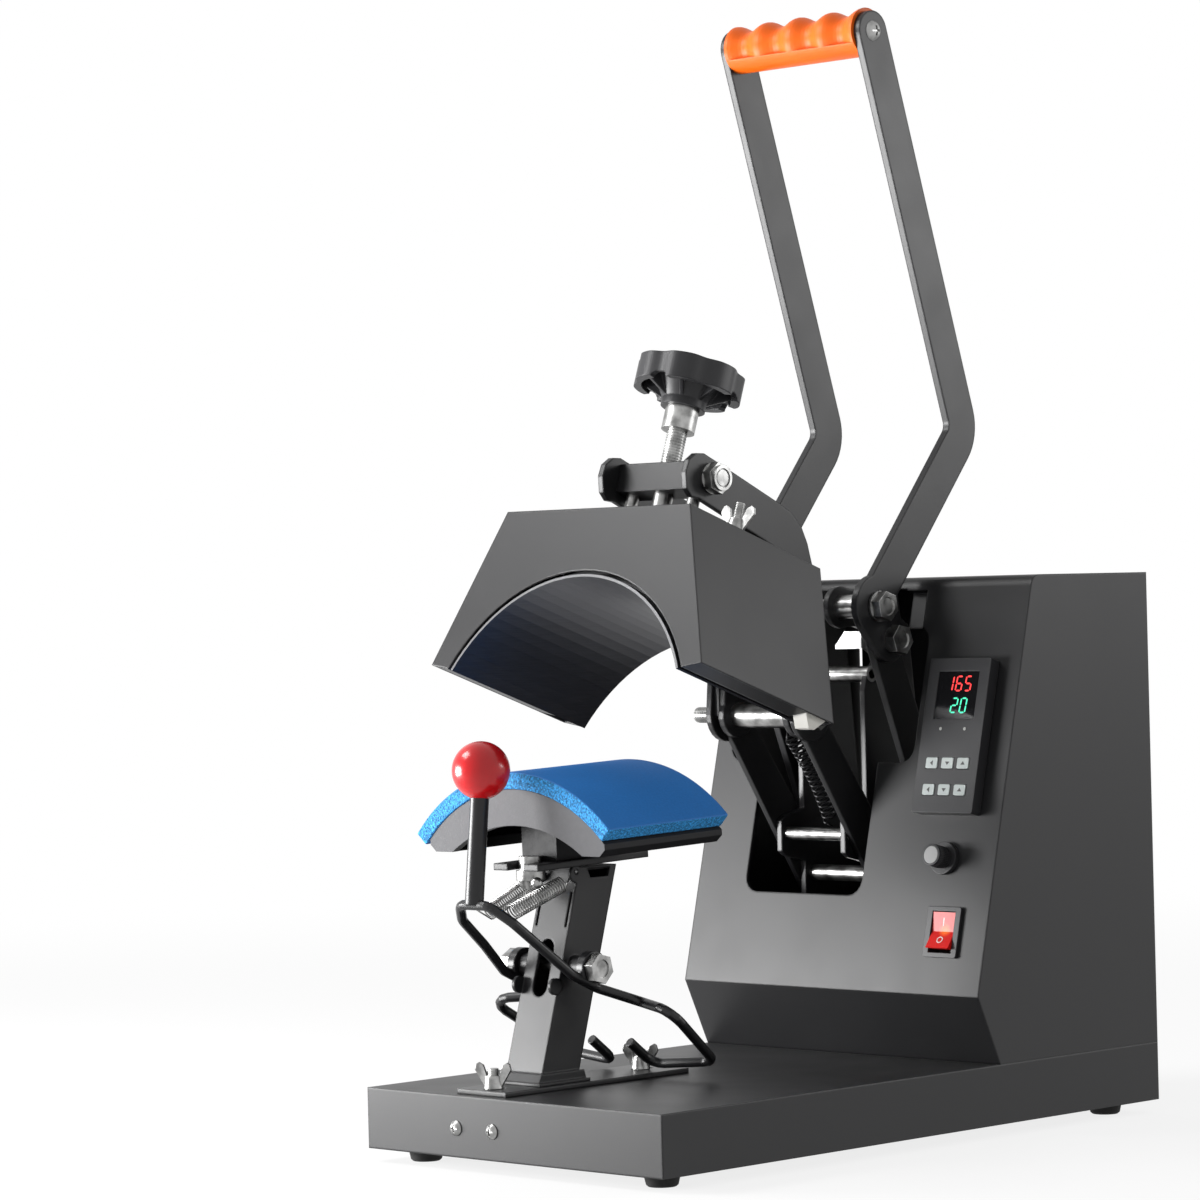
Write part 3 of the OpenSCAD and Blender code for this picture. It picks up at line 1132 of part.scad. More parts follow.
// Wire path of one side of the lever, from the front loop to its upturned end
function wire_pts(s) = let (y = -lever_y, z = lever_z) [[s * 12, loop_y, loop_z], [s * 21, y - 55.5, z + 30.2],
    [s * 24, y - 35.5, z + 14.2], [s * wire_x, y - 15.5, z - 2.8], [s * wire_x, y + 4.5, z - disc_d / 2 - 1.9],
    [s * 40, y + 28.5, z - 21.3], [s * 77, y + 16.5, z - 24.4], [s * 62, y + 67.5, z - 58.8],
    [s * 16, y + 62.5, z - 62.3], [s * 16, y + 43.5, z - 47.8]];

module cap_lever() color([0.1, 0.1, 0.1]) place() {
    lean = atan2(ball_y - loop_y, ball_z - loop_z);
    translate([mech_x, 0, 0]) tube(rounded(concat(reversed(wire_pts(-1)), wire_pts(1)), 9, 4), wire_d, 10);
    each_side() difference() {
        rod_x(-lever_y, lever_z, disc_d, lever_x - 6.2, lever_x - 0.4);
        rod_x(-lever_y, lever_z, lever_bolt_d + 2 * run_clear, 0, bore_end);
    }
    translate([mech_x, loop_y, loop_z]) rotate([-lean, 0, 0]) cylinder(d = stem_d, h = 66, $fn = 40);
}

module lever_ball() color("red") place() translate([mech_x, ball_y, ball_z]) difference() {
    lean = atan2(ball_y - loop_y, ball_z - loop_z);
    reach = norm([ball_y - loop_y, ball_z - loop_z]);
    sphere(d = ball_d, $fn = 64);
    rotate([-lean, 0, 0]) translate([0, 0, 66 - reach - 20]) cylinder(d = stem_d, h = 20, $fn = 40);
}

cap_wire = 1.2;
module cap_spring(s) color(zinc) place() {
    a = [mech_x + s * 9, loop_y + 20.5, loop_z - 5.6];
    b = [mech_x + s * 13, -lever_y - 6.9, ear_z - 5.3];
    spring_body([mech_x + s * 8, loop_y + 4.6, loop_z - 1], a, b, [mech_x + s * (post_w / 2 - post_t - 0.8), ear_y - 2, ear_z],
        cap_spring_d, cap_wire, cap_spring_n, 0);
}
module cap_spring_left() cap_spring(-1);
module cap_spring_right() cap_spring(1);

/* Controls */

key_pos = [for (v = [-17.3, -33.8], x = [-12.3, 0, 12.3]) [x, v]];
key_w = 9;
key_h = 6.7;

module controller() color([0.07, 0.07, 0.07]) place() difference() {
    on_panel(ctl_x, ctl_v) {
        translate([0, 0, 0.05]) plate_rr(ctl_w, ctl_h, 1.5, ctl_out);
        translate([-22, -45.5, -75]) cube([44, 91, 75.1]);
    }
    on_panel(ctl_x, ctl_v, ctl_out - 0.6) translate([-16, 10, 0]) cube([32, 30, 2]);
    for (p = key_pos) on_panel(ctl_x, ctl_v) translate([p[0] - key_w / 2 - fit, p[1] - key_h / 2 - fit, ctl_out - 2.4])
        cube([key_w + 2 * fit, key_h + 2 * fit, 4]);
}

module key(i) color([0.75, 0.75, 0.73]) place() on_panel(ctl_x + key_pos[i][0], ctl_v + key_pos[i][1])
    translate([0, 0, ctl_out - 2.3 + key_travel]) plate_rr(key_w, key_h, 1, 2.8 - key_travel);
module key_1() key(0);
module key_2() key(1);
module key_3() key(2);
module key_4() key(3);
module key_5() key(4);
module key_6() key(5);

module fuse_holder() color([0.07, 0.07, 0.07]) place() on_panel(fuse_x, fuse_v) difference() {
    union() {
        translate([0, 0, 0.05]) cylinder(d = 20, h = 3, $fn = 48);
        translate([0, 0, -32]) cylinder(d = 12, h = 33, $fn = 40);
        translate([0, 0, -sheet - 4.4]) cylinder(d = 16 / cos(30), h = 4, $fn = 6);
    }
    translate([0, 0, -8]) cylinder(d = 9.6, h = 20, $fn = 40);
}

module fuse_cap() color([0.15, 0.15, 0.15]) place() on_panel(fuse_x, fuse_v) {
    translate([0, 0, 3.4]) cylinder(d = 13.3, h = 10.6, $fn = 48);
    translate([0, 0, -7]) cylinder(d = 9, h = 11, $fn = 40);
}

rocker_w = 17.4;
module rocker_switch() color([0.07, 0.07, 0.07]) place() on_panel(rocker_x, rocker_v) difference() {
    union() {
        translate([0, 0, 0.05]) plate_rr(26, 31, 1.5, 2);
        translate([-11, -14, -26]) cube([22, 28, 26.5]);
    }
    translate([-rocker_w / 2 - 0.3, -12.7, -9]) cube([rocker_w + 0.6, 25.4, 15]);
}

// Rocker with two faces that meet at a flat angle, tipped about an axis along X
rocker_in = 2;
module rocker_paddle() color([0.7, 0.1, 0.1]) place() on_panel(rocker_x, rocker_v, -rocker_in) rotate([-rocker_a, 0, 0])
    yz(-rocker_w / 2, rocker_w) polygon([[-11.4, 5.6], [-9.6, -3], [9.6, -3], [11.4, 5.6], [0, 2.6]]);

base_tray();
base_cover();
feet();
case_screws();
slide_studs();
housing_shell();
rear_cover();
power_inlet();
relay();
terminal_block();
linkage_frame();
frame_rods();
frame_brace();
arm_pivot_shaft();
handle_shaft();
handle_arm_left();
handle_arm_right();
handle_grip();
handle_bolts();
links();
upper_arm_left();
upper_arm_right();
lever_plate_left();
lever_plate_right();
crossbar();
arm_bolts();
cross_shaft();
shaft_yoke();
return_spring();
heater_cover();
heater_plate();
heating_element();
guide_pins();
thrust_block();
pressure_screw();
pressure_knob();
head_wing_nut();
slide_plate();
support_post();
platen_base();
platen_foam();
platen_lock();
lever_pivot();
wing_nut_front();
wing_nut_rear();
cap_lever();
lever_ball();
cap_spring_left();
cap_spring_right();
controller();
key_1();
key_2();
key_3();
key_4();
key_5();
key_6();
fuse_holder();
fuse_cap();
rocker_switch();
rocker_paddle();
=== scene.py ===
"""Finishes, small details and studio for the cap heat press."""
import itertools
import json
import math

import bmesh
import bpy
from bpy.props import FloatProperty, FloatVectorProperty, IntProperty, PointerProperty, StringProperty
from mathutils import Matrix, Vector


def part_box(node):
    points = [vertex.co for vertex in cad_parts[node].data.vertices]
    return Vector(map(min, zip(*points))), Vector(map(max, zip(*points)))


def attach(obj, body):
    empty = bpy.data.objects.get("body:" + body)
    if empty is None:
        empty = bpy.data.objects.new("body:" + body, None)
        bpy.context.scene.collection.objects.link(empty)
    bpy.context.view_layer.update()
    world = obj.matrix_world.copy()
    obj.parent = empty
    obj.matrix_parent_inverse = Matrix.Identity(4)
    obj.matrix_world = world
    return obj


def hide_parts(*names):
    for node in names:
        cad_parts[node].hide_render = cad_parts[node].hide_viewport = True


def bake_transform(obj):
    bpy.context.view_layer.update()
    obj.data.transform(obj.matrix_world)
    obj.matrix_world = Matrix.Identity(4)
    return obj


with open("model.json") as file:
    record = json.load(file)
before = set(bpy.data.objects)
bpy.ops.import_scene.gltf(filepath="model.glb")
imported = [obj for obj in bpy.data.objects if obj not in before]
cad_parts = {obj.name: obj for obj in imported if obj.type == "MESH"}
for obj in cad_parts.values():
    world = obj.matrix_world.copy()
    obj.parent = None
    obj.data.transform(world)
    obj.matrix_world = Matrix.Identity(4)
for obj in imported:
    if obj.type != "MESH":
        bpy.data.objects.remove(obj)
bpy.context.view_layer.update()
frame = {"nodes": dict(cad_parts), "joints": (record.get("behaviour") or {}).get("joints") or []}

bl_info = {
    "name": "Cap heat press looks",
    "version": (1, 0, 0),
    "blender": (4, 5, 0),
    "location": "3D View > Sidebar > Heat press",
    "description": "Dresses the packed parts of a cap heat press and sets up its studio",
    "category": "Object",
}

MM = 0.001
JOINTS = {joint["name"]: joint for joint in frame["joints"]}
MIDDLE_X = JOINTS["arm_swing"]["pos_m"][0]
MOULD_MIDDLE_Y = sum(corner.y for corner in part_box("platen_base")) / 2

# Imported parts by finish
FOLDED_SHEET = ("base_tray", "housing_shell", "support_post")
CUT_PLATES = ("linkage_frame", "handle_arm_left", "handle_arm_right", "upper_arm_left",
              "upper_arm_right", "lever_plate_left", "lever_plate_right", "links")
DARK_PLATES = ("base_cover", "rear_cover", "crossbar", "shaft_yoke", "thrust_block", "slide_plate")
ZINC_PARTS = ("case_screws", "slide_studs", "frame_rods", "arm_pivot_shaft", "handle_shaft",
              "handle_bolts", "arm_bolts", "cross_shaft", "guide_pins", "pressure_screw",
              "head_wing_nut", "platen_lock", "lever_pivot", "wing_nut_front", "wing_nut_rear")
BLACK_PLASTIC = ("power_inlet", "controller", "fuse_holder", "fuse_cap", "rocker_switch")
KEYS = tuple(f"key_{number}" for number in range(1, 7))

# Specular level of each finish that names no other
MATT_GLOSS = 0.35

FULL_TURN = 2 * math.pi
RIGHTWARD = Vector((1.0, 0.0, 0.0))
UPWARD = Vector((0.0, 0.0, 1.0))
TOWARD_FRONT = (0.0, -1.0, 0.0)
HEAD_UP = -Vector(JOINTS["press_slide"]["axis"])
CROSS_SHAFT_YZ = (34.55 * MM, 255.0 * MM)

# Hook, first curl, last curl and foot of each spring: millimetres from the middle plane, then Y and Z
RETURN_SPRING = ((13.0, 38.55, 245.8), (13.0, 41.05, 241.8), (13.0, 76.25, 188.7), (13.0, 77.55, 184.1))
CAP_SPRING = ((8.0, -214.85, 153.3), (9.0, -198.95, 148.7), (13.0, -160.85, 163.2), (12.2, -152.45, 168.5))


# Shader building


class Wire:
    """A value socket on which plain arithmetic adds Math nodes."""

    def __init__(self, finish, socket):
        self.finish = finish
        self.socket = socket

    def math(self, operation, *values):
        node = self.finish.add("ShaderNodeMath", {"operation": operation}, dict(enumerate((self, *values))))
        return Wire(self.finish, node.outputs[0])

    def __add__(self, other):
        return self.math("ADD", other)

    def __sub__(self, other):
        return self.math("SUBTRACT", other)

    def __rsub__(self, other):
        return self.math("MULTIPLY_ADD", -1.0, other)

    def __mul__(self, other):
        return self.math("MULTIPLY", other)

    def __gt__(self, other):
        return self.math("GREATER_THAN", other)

    def __abs__(self):
        return self.math("ABSOLUTE")

    def ramp(self, low, high):
        """0 below low, 1 above high, smooth between."""
        node = self.finish.add("ShaderNodeMapRange", {"interpolation_type": "SMOOTHSTEP"},
                               {"Value": self, "From Min": low, "From Max": high})
        return Wire(self.finish, node.outputs[0])

    __radd__ = __add__
    __rmul__ = __mul__


class NodeBench:
    """Adds nodes to one node tree."""

    def __init__(self, tree):
        self.tree = tree

    def add(self, kind, settings=None, values=None):
        """A node of that kind, its settings made first, then values or links on its inputs."""
        node = self.tree.nodes.new(kind)
        for key, setting in (settings or {}).items():
            setattr(node, key, setting)
        for key, value in (values or {}).items():
            self.put(node.inputs[key], value)
        return node

    def put(self, socket, value):
        """Links or sets one input."""
        if isinstance(value, Wire):
            value = value.socket
        if isinstance(value, bpy.types.NodeSocket):
            self.tree.links.new(value, socket)
        elif socket.type == "RGBA":
            socket.default_value = (*value, 1.0)
        else:
            socket.default_value = value


class Finish(NodeBench):
    """One procedural material around a Principled shader."""

    def __init__(self, name, colour, roughness, **constants):
        self.material = bpy.data.materials.new(name)
        self.material.use_nodes = True
        self.material.diffuse_color = (*colour, 1.0)
        super().__init__(self.material.node_tree)
        self.shader = self.tree.nodes["Principled BSDF"]
        self.set(base_color=colour, roughness=roughness, **{"specular_ior_level": MATT_GLOSS, **constants})

    def set(self, **values):
        """Values or links on the shader's inputs, named in lower case."""
        for name, value in values.items():
            self.put(self.shader.inputs[name.replace("_", " ").title().replace("Ior", "IOR")], value)
        return self

    def place(self):
        """Place on the press, in metres."""
        return self.add("ShaderNodeTexCoord").outputs["Object"]

    def stretched(self, scale):
        """That place with its own scale along X, Y and Z."""
        node = self.add("ShaderNodeVectorMath", {"operation": "MULTIPLY"}, {0: self.place(), 1: scale})
        return node.outputs[0]

    def noise(self, scale, detail=2.0, at=None):
        node = self.add("ShaderNodeTexNoise", None,
                        {"Vector": at or self.place(), "Scale": scale, "Detail": detail})
        return Wire(self, node.outputs[0])

    def cells(self, scale):
        node = self.add("ShaderNodeTexVoronoi", None, {"Vector": self.place(), "Scale": scale})
        return Wire(self, node.outputs["Distance"])

    def facing(self, direction):
        """Cosine between the surface and a direction of the press."""
        normal = self.add("ShaderNodeNewGeometry").outputs["True Normal"]
        turned = self.add("ShaderNodeVectorTransform",
                          {"vector_type": "NORMAL", "convert_from": "WORLD", "convert_to": "OBJECT"},
                          {"Vector": normal}).outputs[0]
        node = self.add("ShaderNodeVectorMath", {"operation": "DOT_PRODUCT"}, {0: turned, 1: direction})
        return Wire(self, node.outputs["Value"])

    def mix(self, mask, low, high):
        node = self.add("ShaderNodeMix", {"data_type": "RGBA"}, {0: mask, 6: low, 7: high})
        return node.outputs[2]

    def bump(self, height, distance, strength, under=None):
        """Grain over the normal that lies under it."""
        values = {"Height": height, "Distance": distance, "Strength": strength}
        if under is not None:
            values["Normal"] = under
        return self.set(normal=self.add("ShaderNodeBump", None, values).outputs[0])

    def round_edges(self, radius):
        """Normal that rounds the sharp edges."""
        return self.add("ShaderNodeBevel", {"samples": 6}, {"Radius": radius}).outputs[0]


def shade(colour, factor):
    """The colour made lighter or darker."""
    return tuple(channel * factor for channel in colour)


def powder_coat(name, colour, roughness=0.42, edge=None):
    """Satin powder coat with fine grain, faint mottling and rounded edges; where edge is given, faces towards
    the front take that lighter colour as a painted highlight.
    """
    finish = Finish(name, colour, roughness)
    mottle = finish.noise(9.0, 3.0)
    tone = finish.mix(mottle, shade(colour, 0.82), shade(colour, 1.2))
    if edge:
        # Painted highlight: front-facing faces take the lighter edge colour, standing in for the light they
        # catch
        rim = (finish.facing(TOWARD_FRONT) - 0.9) * 10.0
        tone = finish.mix(rim.math("MINIMUM", 1.0).math("MAXIMUM", 0.0), tone, edge)
    grain = finish.noise(1600.0, 2.0)
    finish.set(base_color=tone, roughness=finish.noise(26.0) * 0.1 + (roughness - 0.05))
    return finish.bump(grain, 0.05 * MM, 0.55, finish.round_edges(1.6 * MM)).material


def bright_zinc(name="bright_zinc", colour=(0.34, 0.34, 0.335), roughness=0.3):
    """Zinc plate, slightly cloudy."""
    finish = Finish(name, colour, roughness, metallic=1.0)
    cloud = finish.noise(120.0, 4.0)
    finish.set(base_color=finish.mix(cloud.ramp(0.3, 0.7), shade(colour, 0.55), shade(colour, 1.3)),
               roughness=cloud * 0.22 + (roughness - 0.08))
    return finish.bump(finish.noise(900.0), 0.03 * MM, 0.4, finish.round_edges(0.4 * MM)).material


def brushed_coat(name, colour, lip_colour, toward_front):
    """Dark brushed plate whose cut front edge is bare metal."""
    finish = Finish(name, colour, 0.34, metallic=0.55)
    lines = finish.noise(1.0, 3.0, finish.stretched((60.0, 60.0, 2600.0)))
    rim = (finish.facing(toward_front) > 0.8)
    brushed = finish.mix(lines, shade(colour, 0.7), shade(colour, 1.5))
    finish.set(base_color=finish.mix(rim, brushed, lip_colour), roughness=lines * 0.2 + 0.24)
    return finish.bump(lines, 0.04 * MM, 0.5).material


def moulded(name, colour, roughness=0.5, grain=1400.0, depth=0.06, edge=0.6, **constants):
    """Moulded plastic or rubber with a fine grain, its depth and rounded edges in millimetres."""
    finish = Finish(name, colour, roughness, **constants)
    patch = finish.noise(40.0, 3.0)
    finish.set(base_color=finish.mix(patch, shade(colour, 0.86), shade(colour, 1.15)),
               roughness=patch * 0.12 + (roughness - 0.06))
    return finish.bump(finish.noise(grain, 3.0), depth * MM, 0.6, finish.round_edges(edge * MM)).material


def glowing(name, colour, strength):
    """A lamp or a lit display segment."""
    finish = Finish(name, shade(colour, 0.6), 0.3, emission_strength=strength, emission_color=colour)
    level = finish.noise(300.0)
    finish.set(base_color=finish.mix(level, shade(colour, 0.5), shade(colour, 0.7)))
    return finish.material


def foam_skin(colour):
    """Moulded skin of the silicone foam."""
    finish = Finish("foam_skin", colour, 0.62)
    speck = finish.noise(700.0, 4.0)
    band = finish.noise(14.0, 2.0)
    finish.set(base_color=finish.mix(speck * 0.5 + band * 0.5, shade(colour, 0.7), shade(colour, 1.3)))
    return finish.bump(finish.cells(900.0) * 0.5 + speck * 0.5, 0.18 * MM, 0.6).material


def foam_cut(colour):
    """Cut edge of the foam, with open cells."""
    finish = Finish("foam_cut", colour, 0.8)
    pores = finish.cells(620.0).ramp(0.12, 0.5)
    crumbs = finish.noise(900.0, 3.0).ramp(0.35, 0.68)
    finish.set(base_color=finish.mix(pores * crumbs, shade(colour, 0.45), shade(colour, 1.35)))
    return finish.bump(pores, 0.4 * MM, 0.8).material


def lens(colour):
    """Red lens plastic with a warm lamp behind its middle."""
    finish = Finish("rocker_lens", colour, 0.36, emission_strength=0.5)
    patch = finish.noise(60.0)
    finish.set(base_color=finish.mix(patch, shade(colour, 0.8), shade(colour, 1.2)))
    lamp_from_hinge = Vector((1.5, 0.0, 1.0)) * MM
    lamp = Vector(JOINTS["rocker_tip"]["pos_m"]) + lamp_from_hinge
    gap = finish.add("ShaderNodeVectorMath", {"operation": "DISTANCE"}, {0: finish.place(), 1: lamp})
    glow = 1.0 - Wire(finish, gap.outputs["Value"]).ramp(2.0 * MM, 6.2 * MM)
    finish.set(emission_color=finish.mix(glow, (0.06, 0.0, 0.0), (1.0, 0.36, 0.04)))
    return finish.material


# Mesh building


def dress(names, material):
    """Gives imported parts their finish."""
    for name in names:
        slots = frame["nodes"][name].data.materials
        if len(slots):
            slots[0] = material
        else:
            slots.append(material)


def add_piece(name, mesh, body, slot, *materials, smooth=True):
    """Turns a bmesh into a piece that rides on a body, or on none yet where body is None."""
    data = bpy.data.meshes.new(name)
    mesh.to_mesh(data)
    mesh.free()
    for material in materials:
        data.materials.append(material)
    for face in data.polygons:
        face.use_smooth = smooth
    piece = bpy.data.objects.new(name, data)
    bpy.context.scene.collection.objects.link(piece)
    if body:
        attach(piece, body)
    return piece


def bevelled(piece, width, segments=2, angle=40.0):
    """Rounds the piece's sharp edges and applies it."""
    modifier = piece.modifiers.new("round", "BEVEL")
    modifier.width, modifier.segments, modifier.limit_method = width, segments, "ANGLE"
    modifier.angle_limit = math.radians(angle)
    modifier.harden_normals = True
    bpy.context.view_layer.update()
    shaped = bpy.data.meshes.new_from_object(piece.evaluated_get(bpy.context.evaluated_depsgraph_get()))
    piece.modifiers.clear()
    piece.data = shaped
    return piece


def basis(origin, right, up):
    """Matrix whose X is right, Y is up and Z stands out of that plane."""
    right, up = Vector(right).normalized(), Vector(up).normalized()
    out = right.cross(up)
    return Matrix.Translation(origin) @ Matrix((right, up, out)).transposed().to_4x4()


def panel_at(joint_name, across, above, out):
    """Plane of the front panel, moved from a joint's place by millimetres."""
    normal = Vector(JOINTS["fuse_turn"]["axis"])
    up = normal.cross(RIGHTWARD)
    origin = Vector(JOINTS[joint_name]["pos_m"]) + (across * RIGHTWARD + above * up + out * normal) * MM
    return basis(origin, RIGHTWARD, up)


def slab(mesh, outline, thickness, plane):
    """Extrudes a flat outline out of a plane, with the outline and thickness in millimetres."""
    low, high = ([mesh.verts.new(plane @ (Vector((x, y, level)) * MM)) for x, y in outline]
                 for level in (0.0, thickness))
    mesh.faces.new(high)
    mesh.faces.new(low[::-1])
    for index in range(len(low)):
        after = (index + 1) % len(low)
        mesh.faces.new((low[index], low[after], high[after], high[index]))


def box_outline(width, height):
    """Corners of an upright rectangle about the plane's middle."""
    return [(side * width / 2, end * height / 2) for side, end in ((-1, -1), (1, -1), (1, 1), (-1, 1))]


def disc_outline(radius, centre=(0.0, 0.0), count=32):
    """Points of a circle."""
    cx, cy = centre
    turns = [FULL_TURN * step / count for step in range(count)]
    return [(cx + radius * math.cos(turn), cy + radius * math.sin(turn)) for turn in turns]


def tube_along(points, radius, sides=10):
    """Round tube along a list of points, carried without twist."""
    mesh = bmesh.new()
    rings = []
    side = None
    for index, point in enumerate(points):
        ahead = (points[min(index + 1, len(points) - 1)] - points[max(index - 1, 0)]).normalized()
        side = side or (RIGHTWARD if abs(ahead.x) < 0.9 else Vector((0.0, 1.0, 0.0)))
        side = (side - side.dot(ahead) * ahead).normalized()
        other = ahead.cross(side)
        rings.append([mesh.verts.new(point + radius * (math.cos(turn) * side + math.sin(turn) * other))
                      for turn in (FULL_TURN * step / sides for step in range(sides))])
    for first, second in zip(rings, rings[1:]):
        for step in range(sides):
            after = (step + 1) % sides
            mesh.faces.new((first[step], first[after], second[after], second[step]))
    mesh.faces.new(rings[0][::-1])
    mesh.faces.new(rings[-1])
    return mesh


def helix(start, end, radius, turns, steps, sag):
    """Points of a helix between two points, bent sideways by sag at its middle."""
    axis = (end - start).normalized()
    first = axis.cross(RIGHTWARD).normalized()
    second = first.cross(axis)
    points = []
    for step in range(int(steps * turns) + 1):
        share = step / (steps * turns)
        turn = FULL_TURN * step / steps
        points.append(start.lerp(end, share) + sag * math.sin(math.pi * share) * first
                      + radius * (math.cos(turn) * first + math.sin(turn) * second))
    return points


def thread(name, start, direction, length, radius, pitch, body, material):
    """Rolled thread that stands a little proud of a plain shank."""
    root, crest = -0.15 * MM, 0.22 * MM
    profile = ((root, -0.42), (crest, -0.1), (crest, 0.1), (root, 0.42))
    steps = 20
    direction = direction.normalized()
    first = direction.orthogonal().normalized()
    second = direction.cross(first)
    mesh = bmesh.new()
    rows = []
    for step in range(int(length / pitch * steps) + 1):
        turn = FULL_TURN * step / steps
        out = math.cos(turn) * first + math.sin(turn) * second
        foot = start + direction * (pitch * step / steps)
        rows.append([mesh.verts.new(foot + out * (radius + rise) + direction * along * pitch)
                     for rise, along in profile])
    for low, high in zip(rows, rows[1:]):
        for index in range(len(profile) - 1):
            mesh.faces.new((low[index], high[index], high[index + 1], low[index + 1]))
    return add_piece(name, mesh, body, "zinc", material, smooth=False)


# Properties


class PressFinishes(bpy.types.PropertyGroup):
    """Colours of the press."""

    coat: FloatVectorProperty(name="Powder coat", description="Black coat of the sheet metal",
                              subtype="COLOR", size=3, default=(0.009, 0.009, 0.01))
    # Painted highlight: lighter colour for the cut plates' front-facing edges, in place of the light they
    # catch
    plate_edge_highlight: FloatVectorProperty(name="Plate edges", description="Front edges of the cut plates",
                                    subtype="COLOR", size=3, default=(0.035, 0.035, 0.037))
    cover: FloatVectorProperty(name="Heater cover", description="Coat of the heater's cover",
                               subtype="COLOR", size=3, default=(0.014, 0.014, 0.015))
    hot_plate: FloatVectorProperty(name="Heater plate", description="Dark brushed pressing face",
                                   subtype="COLOR", size=3, default=(0.045, 0.045, 0.05))
    bare_lip: FloatVectorProperty(name="Bare lip", description="Cut edge of the heater plate",
                                  subtype="COLOR", size=3, default=(0.16, 0.16, 0.165))
    foam: FloatVectorProperty(name="Foam", description="Skin of the foam pad",
                              subtype="COLOR", size=3, default=(0.014, 0.15, 0.46))
    foam_edge: FloatVectorProperty(name="Foam edge", description="Cut edge of the foam pad",
                                   subtype="COLOR", size=3, default=(0.03, 0.27, 0.62))
    # Painted highlight: lit grey given only to the arch's front-facing end faces
    mould: FloatVectorProperty(name="Platen mould", description="Moulded arch under the foam",
                               subtype="COLOR", size=3, default=(0.075, 0.075, 0.08))
    grip: FloatVectorProperty(name="Grip", description="Handle grip",
                              subtype="COLOR", size=3, default=(0.84, 0.125, 0.0))
    ball: FloatVectorProperty(name="Ball", description="Ball of the cap lever",
                              subtype="COLOR", size=3, default=(0.5, 0.003, 0.006))
    plastic: FloatVectorProperty(name="Black plastic", description="Knob and panel parts",
                                 subtype="COLOR", size=3, default=(0.022, 0.022, 0.024))
    key: FloatVectorProperty(name="Keys", description="Keys of the controller",
                             subtype="COLOR", size=3, default=(0.42, 0.46, 0.45))
    lens: FloatVectorProperty(name="Rocker", description="Red rocker of the switch",
                              subtype="COLOR", size=3, default=(0.5, 0.008, 0.006))
    heat_digits: FloatVectorProperty(name="Heat digits", description="Upper row of digits",
                                     subtype="COLOR", size=3, default=(1.0, 0.05, 0.05))
    time_digits: FloatVectorProperty(name="Time digits", description="Lower row of digits",
                                     subtype="COLOR", size=3, default=(0.08, 0.9, 0.5))


class PressSizes(bpy.types.PropertyGroup):
    """Sizes of the pieces that this file adds."""

    foam_radius: FloatProperty(name="Foam radius", description="Radius of the foam's top",
                               unit="LENGTH", default=0.112)
    foam_thickness: FloatProperty(name="Foam thickness", description="Thickness of the pad",
                                  unit="LENGTH", default=0.00992)
    foam_half_angle: FloatProperty(name="Foam half angle", description="Half of the pad's angle",
                                   subtype="ANGLE", default=math.radians(46.5))
    foam_shift: FloatProperty(name="Foam shift", description="Angle by which the pad sits to the left",
                              subtype="ANGLE", default=math.radians(2.0))
    foam_depth: FloatProperty(name="Foam depth", description="Depth of the pad, front to back",
                              unit="LENGTH", default=0.100)
    platen_crown: FloatVectorProperty(name="Platen crown", description="Middle of the platen's crown",
                                      subtype="XYZ", size=3, default=(MIDDLE_X, -0.13745, 0.2314))
    platen_tilt: FloatProperty(name="Platen tilt", description="Angle by which the rear stands higher",
                               subtype="ANGLE", default=math.radians(2.0))
    screw_pitch: FloatProperty(name="Screw pitch", description="Pitch of the pressure screw",
                               unit="LENGTH", default=0.00175)
    digit_height: FloatProperty(name="Digit height", description="Height of a digit in millimetres",
                                default=8.8)
    heat_text: StringProperty(name="Heat", description="Upper number", default="165")
    time_text: StringProperty(name="Time", description="Lower number", default="20")
    spring_steps: IntProperty(name="Spring steps", description="Rings of each curl",
                              default=20, min=8, max=40)


class PressStudio(bpy.types.PropertyGroup):
    """Studio around the press."""

    softbox: FloatProperty(name="Softbox", description="Power of the front left softbox",
                           subtype="POWER", default=29.0)
    fill: FloatProperty(name="Fill", description="Power of the light from above",
                        subtype="POWER", default=11.0)
    side: FloatProperty(name="Side light", description="Power of the light on the right side",
                        subtype="POWER", default=9.0)
    room: FloatProperty(name="Room", description="Strength of the room on matt surfaces", default=0.4)
    floor: FloatVectorProperty(name="Floor", description="Colour of the floor",
                               subtype="COLOR", size=3, default=(0.95, 0.95, 0.95))
    camera_place: FloatVectorProperty(name="Camera", description="Place of the camera", subtype="XYZ", size=3,
                                      unit="LENGTH", default=(1.7720141, -1.9108358, 0.3273539))
    camera_yaw: FloatProperty(name="Yaw", description="Heading of the camera", subtype="ANGLE",
                              default=math.radians(44.8476))
    camera_pitch: FloatProperty(name="Pitch", description="Rise of the camera's axis", subtype="ANGLE",
                                default=math.radians(0.0323))
    camera_roll: FloatProperty(name="Roll", description="Roll of the camera", subtype="ANGLE",
                               default=math.radians(-1.405))
    focal: FloatProperty(name="Lens", description="Focal length in millimetres", default=127.918)


# Pieces


class PRESS_OT_sheet_metal(bpy.types.Operator):
    """Coats the folded sheet, the cut plates and the dark plates"""

    bl_idname = "press.sheet_metal"
    bl_label = "Sheet metal"

    def execute(self, context):
        look = context.scene.press_finishes
        dress(FOLDED_SHEET, powder_coat("sheet_coat", look.coat))
        dress(CUT_PLATES, powder_coat("plate_coat", look.coat, 0.38, look.plate_edge_highlight))
        dress(DARK_PLATES, powder_coat("dark_coat", shade(look.coat, 1.3), 0.36))
        return {"FINISHED"}


